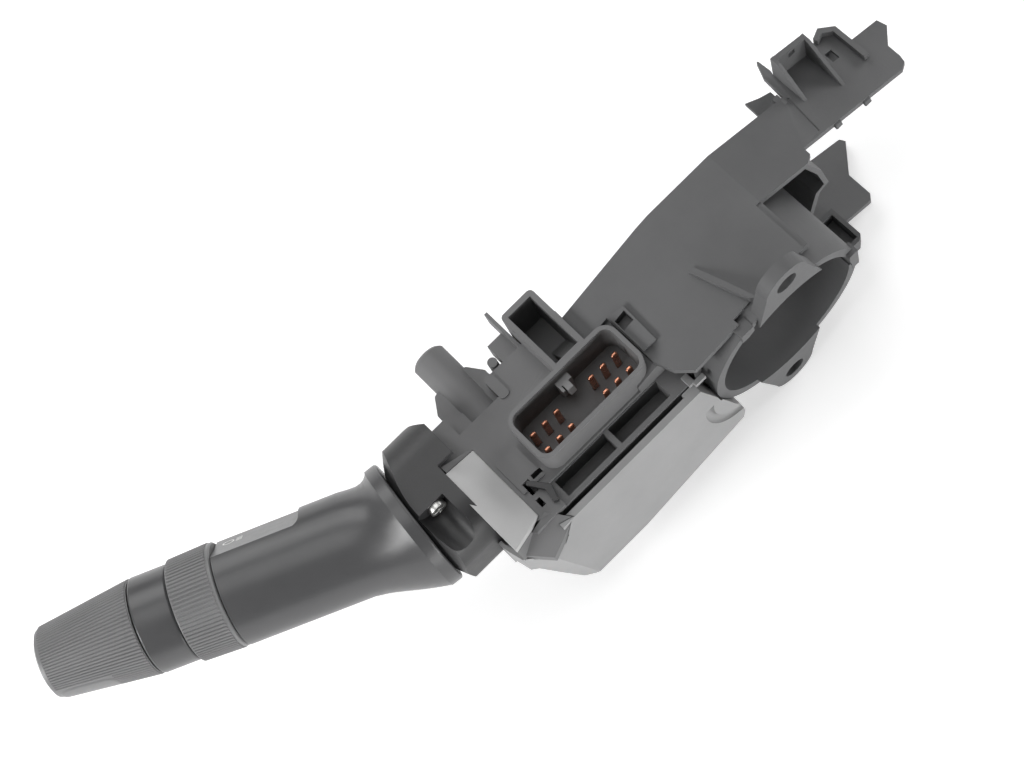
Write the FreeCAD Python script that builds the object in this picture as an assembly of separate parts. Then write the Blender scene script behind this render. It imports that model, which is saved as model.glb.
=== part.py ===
import FreeCAD, Part
import math
import os

# Combination stalk switch, millimetres.
# Origin: centre of the column bore at its mouth. X to the fork side,
# Y along the column toward the driver, Z toward the connector mouth.

V = FreeCAD.Vector

# Column sleeve and ears
BORE_R = 23.0
SLEEVE_WALL = 2.8
SLEEVE_R = BORE_R + SLEEVE_WALL
SLEEVE_LEN = 38.0
EAR_Z = 33.0
EAR_X = 1.6
EAR_R = 7.0
EAR_HOLE_R = 3.3
EAR_FRONT = -1.3
EAR_BACK = 2.6

# Arched plate and fork arms
PLATE_T = 2.4
PLATE_BACK = 39.7
PLATE_TOP = 25.9
RIDGE_X = -10.7
RIDGE_Z = 25.6
LEFT_X = -41.3
LEFT_SLOPE = math.radians(18.0)
BEND_X = 14.0
ARM_SLOPE = math.radians(17.0)
ARM_END = 76.0
FORK_GAP = 48.0
SLOT_X0 = 27.0
SLOT_X1 = 37.5
SLOT_Y0 = 9.9
SLOT_Y1 = 22.2
SLOT_BOTTOM = -34.0
SLOT_WALL = 1.3

# Switch housing
HOUSE_X0 = -91.5
HOUSE_X1 = -28.5
HOUSE_Y0 = 5.0
HOUSE_Y1 = 44.7
HOUSE_TOP = 9.5
HOUSE_BOTTOM = -25.6
HOUSE_WALL = 2.0
SHELF_TOP = 8.0
SHROUD_X0 = -71.6
SHROUD_X1 = -34.4
SHROUD_Y0 = 12.9
SHROUD_Y1 = 29.4
SHROUD_TOP = 21.0
SHROUD_WALL = 1.2
SHROUD_FLOOR = 7.0
CEILING = 5.8
HIGH_CEILING = 7.5
POCKET_FLOOR = -1.0

# Connector pins
PIN_PITCH = 4.2
PIN_X = -68.3
PIN_Y = 22.5
PIN_ROW = 5.52
PIN_TIP = 16.4
PIN_W = 1.9
PIN_T = 1.1
PIN_TAIL = 3.4
PIN_GROUP_GAP = 12.6

# Stalk pivot, swing and lever
PIVOT = V(-72.5, 28.0, 0.0)
SWEEP = math.radians(24.5)
RIM_TILT = math.radians(6.6)
RIM_R = 18.9
NOSE_R = 35.8
DISH_GAP = 0.6
DISH_R = NOSE_R + DISH_GAP
MOUTH_OUT = 1.6245
TUBE_R = 14.65
FLARE_LEN = 18.0
FLARE_STEPS = (FLARE_LEN, 14.5, 11.5, 9.0, 7.0, 5.2, 3.4)
FLARE_RISE = RIM_R - TUBE_R
LIP_T = 3.6
LABEL_LEN = 25.2
LABEL_DEPTH = 2.0
LABEL_TURN = math.radians(30.0)
TUBE_END = 53.6
FOG_END = 67.2
RING_END = 78.1
TIP_END = 107.6
SPIGOT_R = 12.0
BORE_TUBE_R = 10.6
FOG_R = 14.85
RING_R = 13.5
KNOB_TIP_R = 10.3
RIBS = 64
RIB_DEPTH = 0.45
SMOOTH_DIR = math.radians(205.0)
END_GAP = 0.35
RUN = 0.06
NECK_R = 4.4
NECK_START = 19.5
NECK_END = DISH_R + 6.0
TONGUE_H = 4.0
TONGUE_R = 3.4
FINGER_AT = 12.0
FINGER_R = 1.6
BEAM_PIN_R = 1.6
PIVOT_PIN_R = 2.5
PAWL_PIN_R = 1.5

U = V(-math.cos(SWEEP), math.sin(SWEEP), 0)
RIM_N = V(-math.cos(RIM_TILT), math.sin(RIM_TILT), 0)
RIM_REACH = math.sqrt((NOSE_R + MOUTH_OUT) ** 2 - RIM_R ** 2)
RIM = PIVOT + V(-31.94, 4.84, 0).normalize() * RIM_REACH

# Nose shells
NOSE_Y0 = 12.8
NOSE_Y1 = 51.2
NOSE_H = 17.6
NOSE_X1 = -86.0
PART_Y = 32.0
SCREW_X = -99.8
SCREW_OUT = 1.0
SCREW_Z = 14.6
SCOOP_R = 4.6
SCOOP_Z = 16.3

# Case cover
COVER_FRONT = -5.1
COVER_EDGE_Z = -26.0
COVER_TOP_Y = 1.6
COVER_TOP_Z = 7.2
COVER_BOTTOM = -28.0
COVER_X1 = -21.4
COVER_WALL = 2.0
CASE_SCREWS = [(-75.5, 10.6), (-46.4, 38.4), (-34.0, 10.6)]
POST_R = 3.4
FACET_T = 3.0
POST_TOP = -1.1
PAWL = V(-43.0, 17.0, -14.0)

# Turn carrier and detent
ARM_IN = 2.4
ARM_OUT = 3.9
PLUNGER_Y = 27.1
PLUNGER_R = 1.45
TRACK_R = 22.9
PEG_X = -57.8
PEG_R = 1.2


def box(x0, x1, y0, y1, z0, z1):
    return Part.makeBox(x1 - x0, y1 - y0, z1 - z0, V(x0, y0, z0))


def cyl(r, start, axis, length):
    return Part.makeCylinder(r, length, start, axis)


def poly(points):
    return Part.makePolygon(list(points) + [points[0]])


def prism_y(xz, y0, y1):
    face = Part.Face(poly([V(x, y0, z) for x, z in xz]))
    return face.extrude(V(0, y1 - y0, 0))


def prism_z(xy, z0, z1):
    face = Part.Face(poly([V(x, y, z0) for x, y in xy]))
    return face.extrude(V(0, 0, z1 - z0))


def prism_x(yz, x0, x1):
    face = Part.Face(poly([V(x0, y, z) for y, z in yz]))
    return face.extrude(V(x1 - x0, 0, 0))


def fuse(first, *others):
    return first.fuse(list(others)).removeSplitter()


def round_edges(shape, radius, keep):
    picked = [e for e in shape.Edges if keep(e)]
    return shape.makeFillet(radius, picked)


def along_z(edge, x, y, tol=0.05):
    a = edge.Vertexes[0].Point
    b = edge.Vertexes[-1].Point
    same = abs(a.x - b.x) < tol and abs(a.y - b.y) < tol
    return same and abs(a.x - x) < tol and abs(a.y - y) < tol


def rounded_box(x0, x1, y0, y1, z0, z1, r):
    pts = [V(x0 + r, y0, z0), V(x1 - r, y0, z0), V(x1, y0 + r, z0), V(x1, y1 - r, z0),
           V(x1 - r, y1, z0), V(x0 + r, y1, z0), V(x0, y1 - r, z0), V(x0, y0 + r, z0)]
    k = r * (1 - math.sqrt(0.5))
    mids = [None, V(x1 - k, y0 + k, z0), None, V(x1 - k, y1 - k, z0),
            None, V(x0 + k, y1 - k, z0), None, V(x0 + k, y0 + k, z0)]
    edges = []
    for i in range(8):
        a = pts[i]
        b = pts[(i + 1) % 8]
        if mids[i] is None:
            edges.append(Part.makeLine(a, b))
        else:
            edges.append(Part.Arc(a, mids[i], b).toShape())
    return Part.Face(Part.Wire(edges)).extrude(V(0, 0, z1 - z0))


def arm_z(x):
    return PLATE_TOP - (x - BEND_X) * math.tan(ARM_SLOPE)


def left_z(x):
    return RIDGE_Z + (x - RIDGE_X) * math.tan(LEFT_SLOPE)


def stalk_point(s):
    return RIM + U * s


def circle_wire(centre, axis, r):
    return Part.Wire(Part.makeCircle(r, centre, axis))


def save(shape, name):
    shape.exportStep("parts/" + name + ".step")


# Column bracket

def ear(sign):
    centre = V(EAR_X * sign, EAR_FRONT, EAR_Z * sign)
    thick = EAR_BACK - EAR_FRONT
    boss = cyl(EAR_R, centre, V(0, 1, 0), thick)
    foot = [(EAR_X - 1.7 * EAR_R, 17.5), (EAR_X + 1.7 * EAR_R, 17.5),
            (EAR_X + EAR_R, EAR_Z + 0.5), (EAR_X - EAR_R, EAR_Z + 0.5)]
    web = prism_y([(x * sign, z * sign) for x, z in foot], EAR_FRONT, EAR_BACK)
    return fuse(boss, web)


def arch_plate():
    low = PLATE_T
    top = [(LEFT_X - 1, left_z(LEFT_X - 1)), (-12.6, left_z(-12.6)),
           (-8.0, PLATE_TOP), (BEND_X, PLATE_TOP), (ARM_END + 1, arm_z(ARM_END + 1))]
    outline = top + [(x, z - low) for x, z in reversed(top)]
    sheet = prism_y(outline, -2.0, 52.0)
    plan = [(LEFT_X, PLATE_BACK), (LEFT_X, 30.2), (-33.6, 30.2), (-33.6, 13.2),
            (-31.8, 7.4), (-28.0, 3.0), (-12.8, 2.2), (-12.8, EAR_FRONT + 5.4),
            (12.6, EAR_FRONT + 5.4), (12.6, 21.0), (31.0, 21.0), (33.3, 22.6),
            (33.3, 25.0), (69.6, 25.0), (71.6, 26.2), (72.1, 28.4), (72.1, 32.6),
            (76.6, 37.4), (75.8, 40.4), (66.0, 40.4), (65.6, 45.4), (61.6, 48.0),
            (58.4, 46.4), (43.6, 46.4), (44.0, 47.6), (43.6, 53.0), (41.2, 47.4),
            (40.6, PLATE_BACK)]
    return sheet.common(prism_z(plan, -20, 45))


def ridge_web():
    pts = [V(-11.8, 21, 24.4), V(-9.4, 12.5, 24.4), V(-6.6, 4.0, 24.4),
           V(-5.0, 2.4, 24.4), V(-7.6, 12.8, 24.4), V(-10.0, 21, 24.4)]
    left = Part.BSplineCurve()
    left.interpolate(pts[:3])
    right = Part.BSplineCurve()
    right.interpolate(pts[3:])
    wire = Part.Wire([left.toShape(), Part.makeLine(pts[2], pts[3]),
                      right.toShape(), Part.makeLine(pts[5], pts[0])])
    wall = Part.Face(wire).extrude(V(0, 0, 9))
    slope = prism_x([(-3, 24), (22, 24), (22, 26.0), (4.4, 28.6), (-3, 29)], -14, 2)
    return wall.common(slope)


def fork_wall():
    # A thin stepped web seen edge on between the two arms, closed at the back.
    outer = [(30.6, arm_z(30.6) - 0.6), (34.9, 8.4), (36.8, -3.6), (33.4, -5.0),
             (29.8, -16.2), (26.2, -22.0), (24.0, -27.5)]
    inner = [(22.6, -27.0), (24.6, -21.2), (28.2, -15.2), (32.0, -3.4), (35.2, -2.4),
             (33.4, 8.0), (29.1, arm_z(29.1) - 0.6)]
    web = prism_y(outer + inner, 21.0, 38.0)
    back = prism_y([(18, arm_z(18) - 0.4), (30.2, arm_z(30.2) - 0.6), (34.6, 8.4),
                    (36.6, -3.4), (33.2, -4.6), (29.6, -16.0), (24.0, -27.0), (18, -27.0)],
                   36.4, 38.0)
    return web, back


def lower_arm():
    shift = FORK_GAP / math.cos(ARM_SLOPE)
    line = [(4.0, arm_z(4) - shift), (62.0, arm_z(62) - shift)]
    outline = line + [(x, z - PLATE_T) for x, z in reversed(line)]
    sheet = prism_y(outline, 0.0, 40.0)
    plan = [(6.0, 38.4), (45.2, 38.4), (56.2, 38.0), (57.2, 36.4), (51.2, 29.4),
            (49.8, 27.8), (49.8, 19.6), (48.4, 18.0), (38.2, 17.8), (38.2, 12.0),
            (37.0, 10.8), (14.0, 8.0), (6.0, 8.0)]
    return sheet.common(prism_z(plan, -60, 0))


def slot_channel():
    w = SLOT_WALL
    body = prism_z([(SLOT_X0, SLOT_Y0), (SLOT_X1 - 1.6, SLOT_Y0), (SLOT_X1, SLOT_Y0 + 1.3),
                    (SLOT_X1, SLOT_Y1), (SLOT_X0, SLOT_Y1)], SLOT_BOTTOM, -27.5)
    hollow = box(SLOT_X0 + w, SLOT_X1 - w, SLOT_Y0 + w, SLOT_Y1 - w, SLOT_BOTTOM + w, -10.0)
    return body, hollow


def catch_box():
    x0 = 43.6
    x1 = 55.2
    w = 1.0
    top = 10.0
    back = prism_y([(x0, arm_z(x0) - 1), (x1, arm_z(x1) - 1),
                    (x1, arm_z(x1) + top), (x0, arm_z(x0) + top)], 44.8, 46.4)
    parts = [back]
    for x, y_low in ((x0, 34.0), (x1 - w, 30.4)):
        z = arm_z(x)
        side = [(y_low, z - 1.0), (46.4, z - 1.0), (46.4, z + top), (43.6, z + top)]
        parts.append(prism_x(side, x, x + w))
    body = fuse(*parts)
    hole = box(48.4, 50.6, 44, 48, arm_z(49) + 6.6, arm_z(49) + 8.8)
    return body.cut(hole)


def raised_lip():
    line = [(64.2, 33.4), (65.8, 33.4), (65.6, 45.4), (61.6, 48.0), (58.4, 46.4),
            (58.8, 45.0), (61.4, 46.2), (64.0, 44.6)]
    tall = prism_z(line, 0, 30)
    sheet = prism_y([(57, arm_z(57) - 1), (67, arm_z(67) - 1),
                     (67, arm_z(67) + 2.6), (57, arm_z(57) + 2.6)], 30, 52)
    return tall.common(sheet)


def side_fin():
    pts = [(32.6, 37.6), (32.8, 46.0), (36.6, 44.8), (40.2, 44.2), (40.2, 37.6)]
    low = [(30, arm_z(30) - 4.6), (42, arm_z(42) - 4.6), (42, arm_z(42) - 3.2),
           (30, arm_z(30) - 3.2)]
    tab = prism_z(pts, -10, 30).common(prism_y(low, 30, 50))
    stem = box(38.4, 40.2, 37.6, 41.6, arm_z(39) - 4.0, arm_z(39) - 1.2)
    stem2 = box(32.6, 40.2, 37.6, 39.2, arm_z(36) - 4.0, arm_z(36) - 1.0)
    return tab, stem, stem2


def edge_hooks():
    hooks = []
    for x in (45.4, 56.0):
        z = arm_z(x)
        pts = [(25.2, z - 0.4), (25.2, z - PLATE_T), (24.4, z - PLATE_T - 0.4),
               (23.9, z - PLATE_T + 0.3), (24.4, z - 0.7)]
        hooks.append(prism_x(pts, x - 1.0, x + 1.0))
    return hooks


def clip_flange():
    pts = [(-33.4, 29.8), (-28.7, 28.6), (-29.2, 15.9), (-33.4, 16.6)]
    tall = prism_z(pts, 0, 40)
    x0 = -35.0
    x1 = -27.0
    sheet = prism_y([(x0, left_z(x0) - 0.8), (x1, left_z(x1) - 0.8),
                     (x1, left_z(x1) + 1.2), (x0, left_z(x0) + 1.2)], 10, 35)
    return tall.common(sheet)


def clip_window():
    return box(-33.0, -29.4, 24.0, 27.6, 10, 30)


def end_tab():
    return box(22.4, 25.4, -1.3, 2.0, -1.5, 8.0)


def column_bracket():
    tube = cyl(SLEEVE_R, V(0, 0, 0), V(0, 1, 0), SLEEVE_LEN)
    trough, hollow = slot_channel()
    body = fuse(tube, ear(1), ear(-1), arch_plate(), ridge_web(), *fork_wall(),
                lower_arm(), trough, catch_box(), raised_lip(), *side_fin(),
                clip_flange(), end_tab(), *edge_hooks())
    side_rail = box(12.6, 14.2, 4.4, 21.0, 20.0, PLATE_TOP - 0.4)
    neck = box(-27.4, -20.0, 6.0, 36.0, -12.0, left_z(-27.4) - 1.0)
    edge_tab = box(-14.6, -10.4, -0.6, 3.0, 19.4, left_z(-13.0) - 1.0)
    body = fuse(body, side_rail, neck, edge_tab)
    body = body.cut(hollow.cut(cyl(SLEEVE_R, V(0, 0, 0), V(0, 1, 0), SLEEVE_LEN)))
    body = body.cut(cyl(BORE_R, V(0, -5, 0), V(0, 1, 0), SLEEVE_LEN + 10))
    for sign in (1, -1):
        start = V(EAR_X * sign, EAR_FRONT - 1, EAR_Z * sign)
        body = body.cut(cyl(EAR_HOLE_R, start, V(0, 1, 0), 14))
    body = body.cut(clip_window())
    body = body.cut(box(57.8, 60.2, 38.6, 41.8, arm_z(59) - 1.4, 18))
    key_slot = box(21.0, 23.4, -1, 12, -1.5, 1.5)
    return body.cut(key_slot)


# Switch housing

def house_block():
    ramp_end = left_z(HOUSE_X1) - PLATE_T
    ramp_start = left_z(LEFT_X + 0.8) - PLATE_T
    pts = [(HOUSE_X0, HOUSE_BOTTOM), (HOUSE_X1, HOUSE_BOTTOM), (HOUSE_X1, ramp_end),
           (LEFT_X + 0.8, ramp_start), (LEFT_X + 0.8, HOUSE_TOP), (HOUSE_X0, HOUSE_TOP)]
    block = prism_y(pts, HOUSE_Y0, HOUSE_Y1)
    step = box(LEFT_X + 0.8, HOUSE_X1 + 1, 38.6, HOUSE_Y1 + 1, HOUSE_BOTTOM - 1, 30)
    front = box(LEFT_X - 5, HOUSE_X1 + 1, HOUSE_Y0 - 1, 8.4, HOUSE_TOP - 1.4, 30)
    return block.cut(step).cut(front)


def left_bottom(grow):
    g = grow
    front = prism_y([(-78.6 - g, -31 - g), (-84.4 - g, -18.6 - g), (-88.6 - g, -8.5 - g),
                     (-105, -8.5 - g), (-105, -31 - g)], -10, 11.5)
    rear = prism_y([(-78.6 - g, -31 - g), (-89.5 - g, -17.4 - g), (-105, -17.4 - g),
                    (-105, -31 - g)], 11.4, 60)
    return fuse(front, rear)


def house_cavity():
    x0 = HOUSE_X0 + HOUSE_WALL
    x1 = HOUSE_X1 - HOUSE_WALL
    y1 = HOUSE_Y1 - HOUSE_WALL - 0.2
    deep = HOUSE_BOTTOM - 1
    main = box(x0, -42.6, 14.2, y1, deep, CEILING)
    right = box(-43.0, x1, 14.2, 36.4, deep, CEILING)
    high = box(x0, SHROUD_X0 - 1.0, 14.2, y1, 5.0, HIGH_CEILING)
    rear = box(SHROUD_X0 - 1.5, -44.0, SHROUD_Y1 + 1.2, y1, 5.0, HIGH_CEILING)
    low = box(x0, x1, HOUSE_Y0 + HOUSE_WALL, 14.4, deep, -3.2)
    side = box(x0, -78.0, HOUSE_Y0 + HOUSE_WALL, 14.4, -5.0, 6.0)
    return fuse(main, right, high, rear, low, side)


def shelf_cuts():
    ledge = box(HOUSE_X0 - 1, HOUSE_X1 + 1, HOUSE_Y0 - 1, SHROUD_Y0 - 0.6, SHELF_TOP, 30)
    ledge = ledge.cut(box(HOUSE_X0 - 2, -74.8, 0, 20, 0, 20))
    pockets = [box(-72.6, -54.8, 6.4, SHROUD_Y0 - 0.9, POCKET_FLOOR, 12),
               box(-53.3, -35.6, 6.4, SHROUD_Y0 - 0.9, POCKET_FLOOR, 12)]
    return [ledge] + pockets


def shroud():
    outer = rounded_box(SHROUD_X0, SHROUD_X1, SHROUD_Y0, SHROUD_Y1, CEILING, SHROUD_TOP, 4.0)
    w = SHROUD_WALL
    inner = rounded_box(SHROUD_X0 + w, SHROUD_X1 - w, SHROUD_Y0 + w, SHROUD_Y1 - w,
                        SHROUD_FLOOR, SHROUD_TOP + 1, 2.6)
    return outer, inner


def hood_socket():
    outer = box(-52.8, -41.6, 29.0, 50.8, -4.0, 18.4)
    outer = round_edges(outer, 1.4, lambda e: along_z(e, -52.8, 50.8) or along_z(e, -41.6, 50.8))
    outer = outer.cut(box(-54, -40, 28, HOUSE_Y1 - 1.0, -5.0, -1.3))
    inner = box(-51.2, -43.2, 31.0, 49.2, 0.5, 20)
    wedge = prism_x([(30.5, 0.4), (40.0, 0.4), (31.0, 14.5), (30.5, 14.5)], -48.4, -43.0)
    return outer, inner.cut(wedge)


def pivot_post():
    outer = cyl(5.1, V(PIVOT.x, 38.6, PIVOT.z), V(0, 1, 0), 25.4)
    outer = outer.makeChamfer(0.8, [e for e in outer.Edges if abs(e.CenterOfMass.y - 64.0) < 0.1
                                    and e.Length > 20])
    webs = []
    for sign, reach in ((-1, 9.2), (1, 8.4)):
        pts = [(PIVOT.x, 43.5), (PIVOT.x + sign * reach, 43.5), (PIVOT.x + sign * reach, 49.0),
               (PIVOT.x + sign * (reach - 3.0), 53.4), (PIVOT.x, 55.6)]
        webs.append(prism_z(pts, 0.8, 2.8))
    return fuse(outer, *webs)


def side_box():
    body = rounded_box(-93.2, -81.8, 34.2, HOUSE_Y1, 1.0, HOUSE_TOP, 1.2)
    hollow = box(-91.9, -80.0, 33.0, 43.2, 0.0, 7.9)
    slot = box(-83.8, -82.2, 35.2, 43.4, 4.0, 12)
    return body.cut(hollow).cut(slot)


def latch_bed():
    pad = box(-80.6, -73.2, 14.6, 25.5, HOUSE_TOP - 0.2, HOUSE_TOP + 0.5)
    return pad


def latch_slots():
    return [box(-79.2, -77.0, 12.8, 16.8, 4.4, 12), box(-76.0, -72.8, 15.6, 17.0, 4.4, 12),
            box(-79.6, -78.2, 8.8, 11.4, 5.4, 12)]


def house_fins():
    blade = box(-54.2, -53.2, 44.0, 58.0, 1.0, 9.0)
    block = box(-59.4, -54.0, 44.0, 52.4, -3.0, 5.0)
    nub = cyl(1.4, V(-61.4, 48.6, -3.0), V(0, 0, 1), 7.0)
    nub_arm = box(-62.4, -60.4, 44.0, 48.8, -3.0, 2.6)
    hump = rounded_box(-67.0, -64.0, 37.0, HOUSE_Y1 + 0.3, 3.0, HOUSE_TOP + 0.35, 1.2)
    return [blade, block, nub, nub_arm, hump]


def post_notch():
    notch = box(-81.4, -66.4, 38.6, HOUSE_Y1 + 1, 3.2, 12)
    pan = box(-82.9, -64.9, 37.0, 43.5, 1.2, 8.0)
    return notch, pan


def bearing_rib():
    # Front bearing of the turn carrier, stepped down where the terminal board passes.
    tall = box(-78.0, -71.0, 15.2, 17.8, -6.5, HIGH_CEILING + 0.1)
    short = box(-71.2, -66.5, 15.2, 17.8, -6.5, 3.0)
    side = box(-78.0, -76.2, 14.0, 17.8, -6.5, HIGH_CEILING + 0.1)
    return fuse(tall, short, side)


def contact_shelf():
    return box(-89.8, -77.4, 15.0, HOUSE_Y1 - 2.0, -18.0, -16.2)


def cap_wedge():
    # Fills the space between the housing top and the sloping cap.
    under = prism_y([(-84.9, 8.6), (-91.0, 8.6), (-91.0, 12.8)], 6.2, 31.0)
    cheek = prism_y([(-82.0, 8.6), (-90.9, 8.6), (-90.9, 15.4), (-82.0, 9.4)], 30.0, 33.8)
    return fuse(under, cheek)


def cap_skirt():
    # Low wall under the front end of the cap, down to the corner facet.
    plan = prism_z([(-82.0, 7.8), (-92.2, 3.6), (-92.2, 5.2), (-91.0, 8.0), (-84.0, 10.2),
                    (-82.0, 10.2)], 3.0, 20.0)
    return plan.common(prism_y([(-80.0, 3.0), (-93.0, 3.0), (-93.0, 15.6), (-80.0, 6.8)], 0, 12))


def switch_housing():
    body = house_block().cut(house_cavity())
    outer, inner = shroud()
    hood, hood_in = hood_socket()
    notch, pan = post_notch()
    body = fuse(body, pan, contact_shelf(), cap_wedge()).cut(notch).cut(left_bottom(0.0))
    body = fuse(body, outer, hood, pivot_post(), side_box(), latch_bed(), bearing_rib(),
                *house_fins())
    body = fuse(body, *screw_posts())
    body = body.cut(inner).cut(hood_in)
    for tool in shelf_cuts():
        body = body.cut(tool.cut(outer))
    for tool in latch_slots():
        body = body.cut(tool)
    body = body.cut(cyl(PIVOT_PIN_R + RUN, V(PIVOT.x, 36.0, 0), V(0, 1, 0), 24.6))
    body = body.cut(cyl(PIVOT_PIN_R + RUN, V(PIVOT.x, 14.0, 0), V(0, 1, 0), 6.0))
    body = body.cut(nose_room()).cut(neck_window())
    corner = prism_z([(-95, 3), (-83.4, 3), (-91.0, 12.0), (-95, 12)], -40, 20)
    body = body.cut(corner)
    body = fuse(body, corner_facet(0.0), cap_skirt()).cut(cap_prism(0.0))
    for shape in pin_shapes(0.0):
        body = body.cut(shape)
    body = body.cut(box(-55.0, -50.6, 26.4, 28.4, SHROUD_FLOOR, 15.6))
    body = body.cut(box(-94, -28, 4, 50, HOUSE_BOTTOM - 5, HOUSE_BOTTOM))
    return biggest(body)


def nose_room():
    return box(NOSE_X1 - 10.0, NOSE_X1 - 5.0, NOSE_Y0 - 1, PART_Y + 2.2, -19, 20)


def neck_window():
    return box(-94.0, -88.5, 21.8, 38.6, -8.5, 8.5)


# Cover pieces

def corner_facet(grow):
    # Dark sloped corner between the block cap and the front of the cover.
    g = grow
    a = V(-83.2 - g * 0.2, 7.2 + g, 9.5 + g)
    b = V(-75.6 + g, 1.9, 7.0 + g)
    c = V(-86.2, -0.95 - g, -5.0 + g)
    d = V(-91.3 - g, 4.2, 4.8 + g)
    e = V(-80.0 + g, 7.2 + g, 8.0 + g)
    top = [a, e, b, c, d]
    face = Part.Face(poly([V(p.x, p.y, -12.0) for p in top]))
    tall = face.extrude(V(0, 0, 26))
    normal = (b - a).cross(d - a)
    if normal.z < 0:
        normal = normal * -1
    normal.normalize()
    above = Part.makeBox(80, 80, 40, V(-40, -40, 0))
    above.Placement = FreeCAD.Placement(a, FreeCAD.Rotation(V(0, 0, 1), normal))
    body = tall.cut(above)
    body = body.cut(box(-100, -70, -10, 20, -15, -9.0 - g))
    below = Part.makeBox(80, 80, 40, V(-40, -40, -40 - FACET_T - g))
    below.Placement = above.Placement
    return body.cut(below)


def cap_section(y, x_in, x_out, z_low, z_high, drop):
    pts = [V(x_in, y[0], z_low), V(x_out, y[1], z_high), V(x_out, y[1], z_high - drop),
           V(x_in, y[0], z_low - drop)]
    return Part.Wire(poly(pts))


def cap_prism(grow):
    ends = [cap_section((7.8 - grow, 3.4 - grow), -81.8, -92.4, 9.6, 16.8, 3.0),
            cap_section((33.2 + grow, 31.4 + grow), -81.8, -92.4, 9.6, 16.8, 3.0)]
    return Part.makeLoft(ends, True, True)


def block_cap():
    return cap_prism(-0.15)


def cover_plan(grow):
    g = grow
    return [(-94.0 - g, HOUSE_Y1 + g), (-94.0 - g, 10.5), (-92.6 - g, 4.6 - g),
            (-79.4, COVER_FRONT - g), (COVER_X1 - 1.0, COVER_FRONT - g),
            (COVER_X1 + g, COVER_FRONT + 1.0), (COVER_X1 + g, HOUSE_Y1 + g)]


def lower_slope(inset):
    # Everything below a plane that trims the lower front edge, which rises toward the column.
    a = V(-64.0, COVER_FRONT - 0.1, COVER_EDGE_Z - 0.3)
    b = V(COVER_X1 - 3.1, -4.2, -21.1)
    c = V(COVER_X1 - 3.1, 6.0, COVER_BOTTOM)
    normal = (c - a).cross(b - a)
    if normal.z > 0:
        normal = normal * -1
    normal.normalize()
    below = Part.makeBox(160, 160, 40, V(-80, -80, 0))
    below.Placement = FreeCAD.Placement(a - normal * inset, FreeCAD.Rotation(V(0, 0, 1), normal))
    return below


def case_cover():
    tray = prism_z(cover_plan(0), COVER_BOTTOM, COVER_TOP_Z)
    front_cut = prism_x([(COVER_FRONT - 5, COVER_EDGE_Z), (COVER_FRONT, COVER_EDGE_Z),
                         (COVER_TOP_Y, COVER_TOP_Z), (COVER_TOP_Y, 12), (COVER_FRONT - 5, 12)],
                        -110, -20)
    tray = tray.cut(front_cut)
    under = prism_x([(COVER_FRONT - 2, -30), (COVER_FRONT + 3.6, -30), (COVER_FRONT + 2.2, -27.9),
                     (COVER_FRONT + 0.7, -27.1), (COVER_FRONT, COVER_EDGE_Z),
                     (COVER_FRONT - 2, COVER_EDGE_Z)], -110, -20)
    tray = tray.cut(under)
    end_lean = prism_y([(-30.2, COVER_TOP_Z + 2), (-22.4, -13.4), (-21.5, -16.0),
                        (-21.5, -18.6), (-22.8, -21.0), (-27.0, -29), (-10, -29),
                        (-10, COVER_TOP_Z + 2)], -10, 60)
    tray = tray.cut(end_lean).cut(lower_slope(0.0))
    w = COVER_WALL
    inner = prism_z([(-93.0, HOUSE_Y1 + 5), (-93.0, 10.9), (-91.8, 6.2), (-86.2, 4.7),
                     (HOUSE_X1 + 0.5, 4.6), (HOUSE_X1 + 0.5, HOUSE_Y1 + 5)],
                    HOUSE_BOTTOM, COVER_TOP_Z + 3)
    hollow = prism_x([(4.7, HOUSE_BOTTOM), (4.7, 12), (COVER_TOP_Y + w, 12), (COVER_TOP_Y + w, 6),
                      (COVER_FRONT + w + 0.6, -21.0), (COVER_FRONT + w + 1.0, HOUSE_BOTTOM)],
                     -78.0, -33.6).cut(lower_slope(COVER_WALL))
    room = left_bottom(0.4)
    tray = tray.cut(inner.cut(room)).cut(hollow)
    left_room = box(-100, NOSE_X1 - 4.4, NOSE_Y0 - 0.4, HOUSE_Y1 + 3, -18.2, 20)
    tray = tray.cut(left_room)
    back_open = box(-100, -20, 38.9, 60, HOUSE_BOTTOM, 20)
    right_open = box(HOUSE_X1 - 1, -20, 5.6, 60, -13.0, 20)
    back_trim = box(LEFT_X + 0.8, -20, 39.0, 60, -30, 20)
    tray = tray.cut(back_open).cut(right_open).cut(back_trim)
    tray = tray.cut(left_bottom(2.2))
    tray = tray.cut(corner_facet(0.3)).cut(corner_facet(0.0))
    tray = tray.cut(box(-100, -79.5, -10, 14, 2.0, 12))
    tray = tray.cut(cap_prism(0.4))
    tray = tray.cut(cyl(SLEEVE_R + 0.6, V(0, -0.8, 0), V(0, 1, 0), 50))
    crescent = Part.makeTorus(9.0, 1.5, V(-21.4, -1.5, -6.6), V(0, 1, -0.2))
    keep = box(-33.5, -20, -12, 5, -17.5, -3.5)
    tray = tray.cut(crescent.common(keep))
    tray = fuse(tray, *pawl_posts())
    tray = tray.cut(cyl(PAWL_PIN_R, V(PAWL.x, 10.0, PAWL.z), V(0, 1, 0), 20.0))
    for x, y in CASE_SCREWS:
        tray = tray.cut(cyl(1.6, V(x, y, COVER_BOTTOM - 1), V(0, 0, 1), 4))
        tray = tray.cut(cyl(3.1, V(x, y, COVER_BOTTOM - 1), V(0, 0, 1), 2.0))
    return biggest(tray)


def screw_posts():
    posts = []
    for x, y in CASE_SCREWS:
        post = cyl(POST_R, V(x, y, HOUSE_BOTTOM), V(0, 0, 1), POST_TOP - HOUSE_BOTTOM)
        posts.append(post.cut(cyl(1.5, V(x, y, HOUSE_BOTTOM - 1), V(0, 0, 1), 11)))
    return posts


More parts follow.
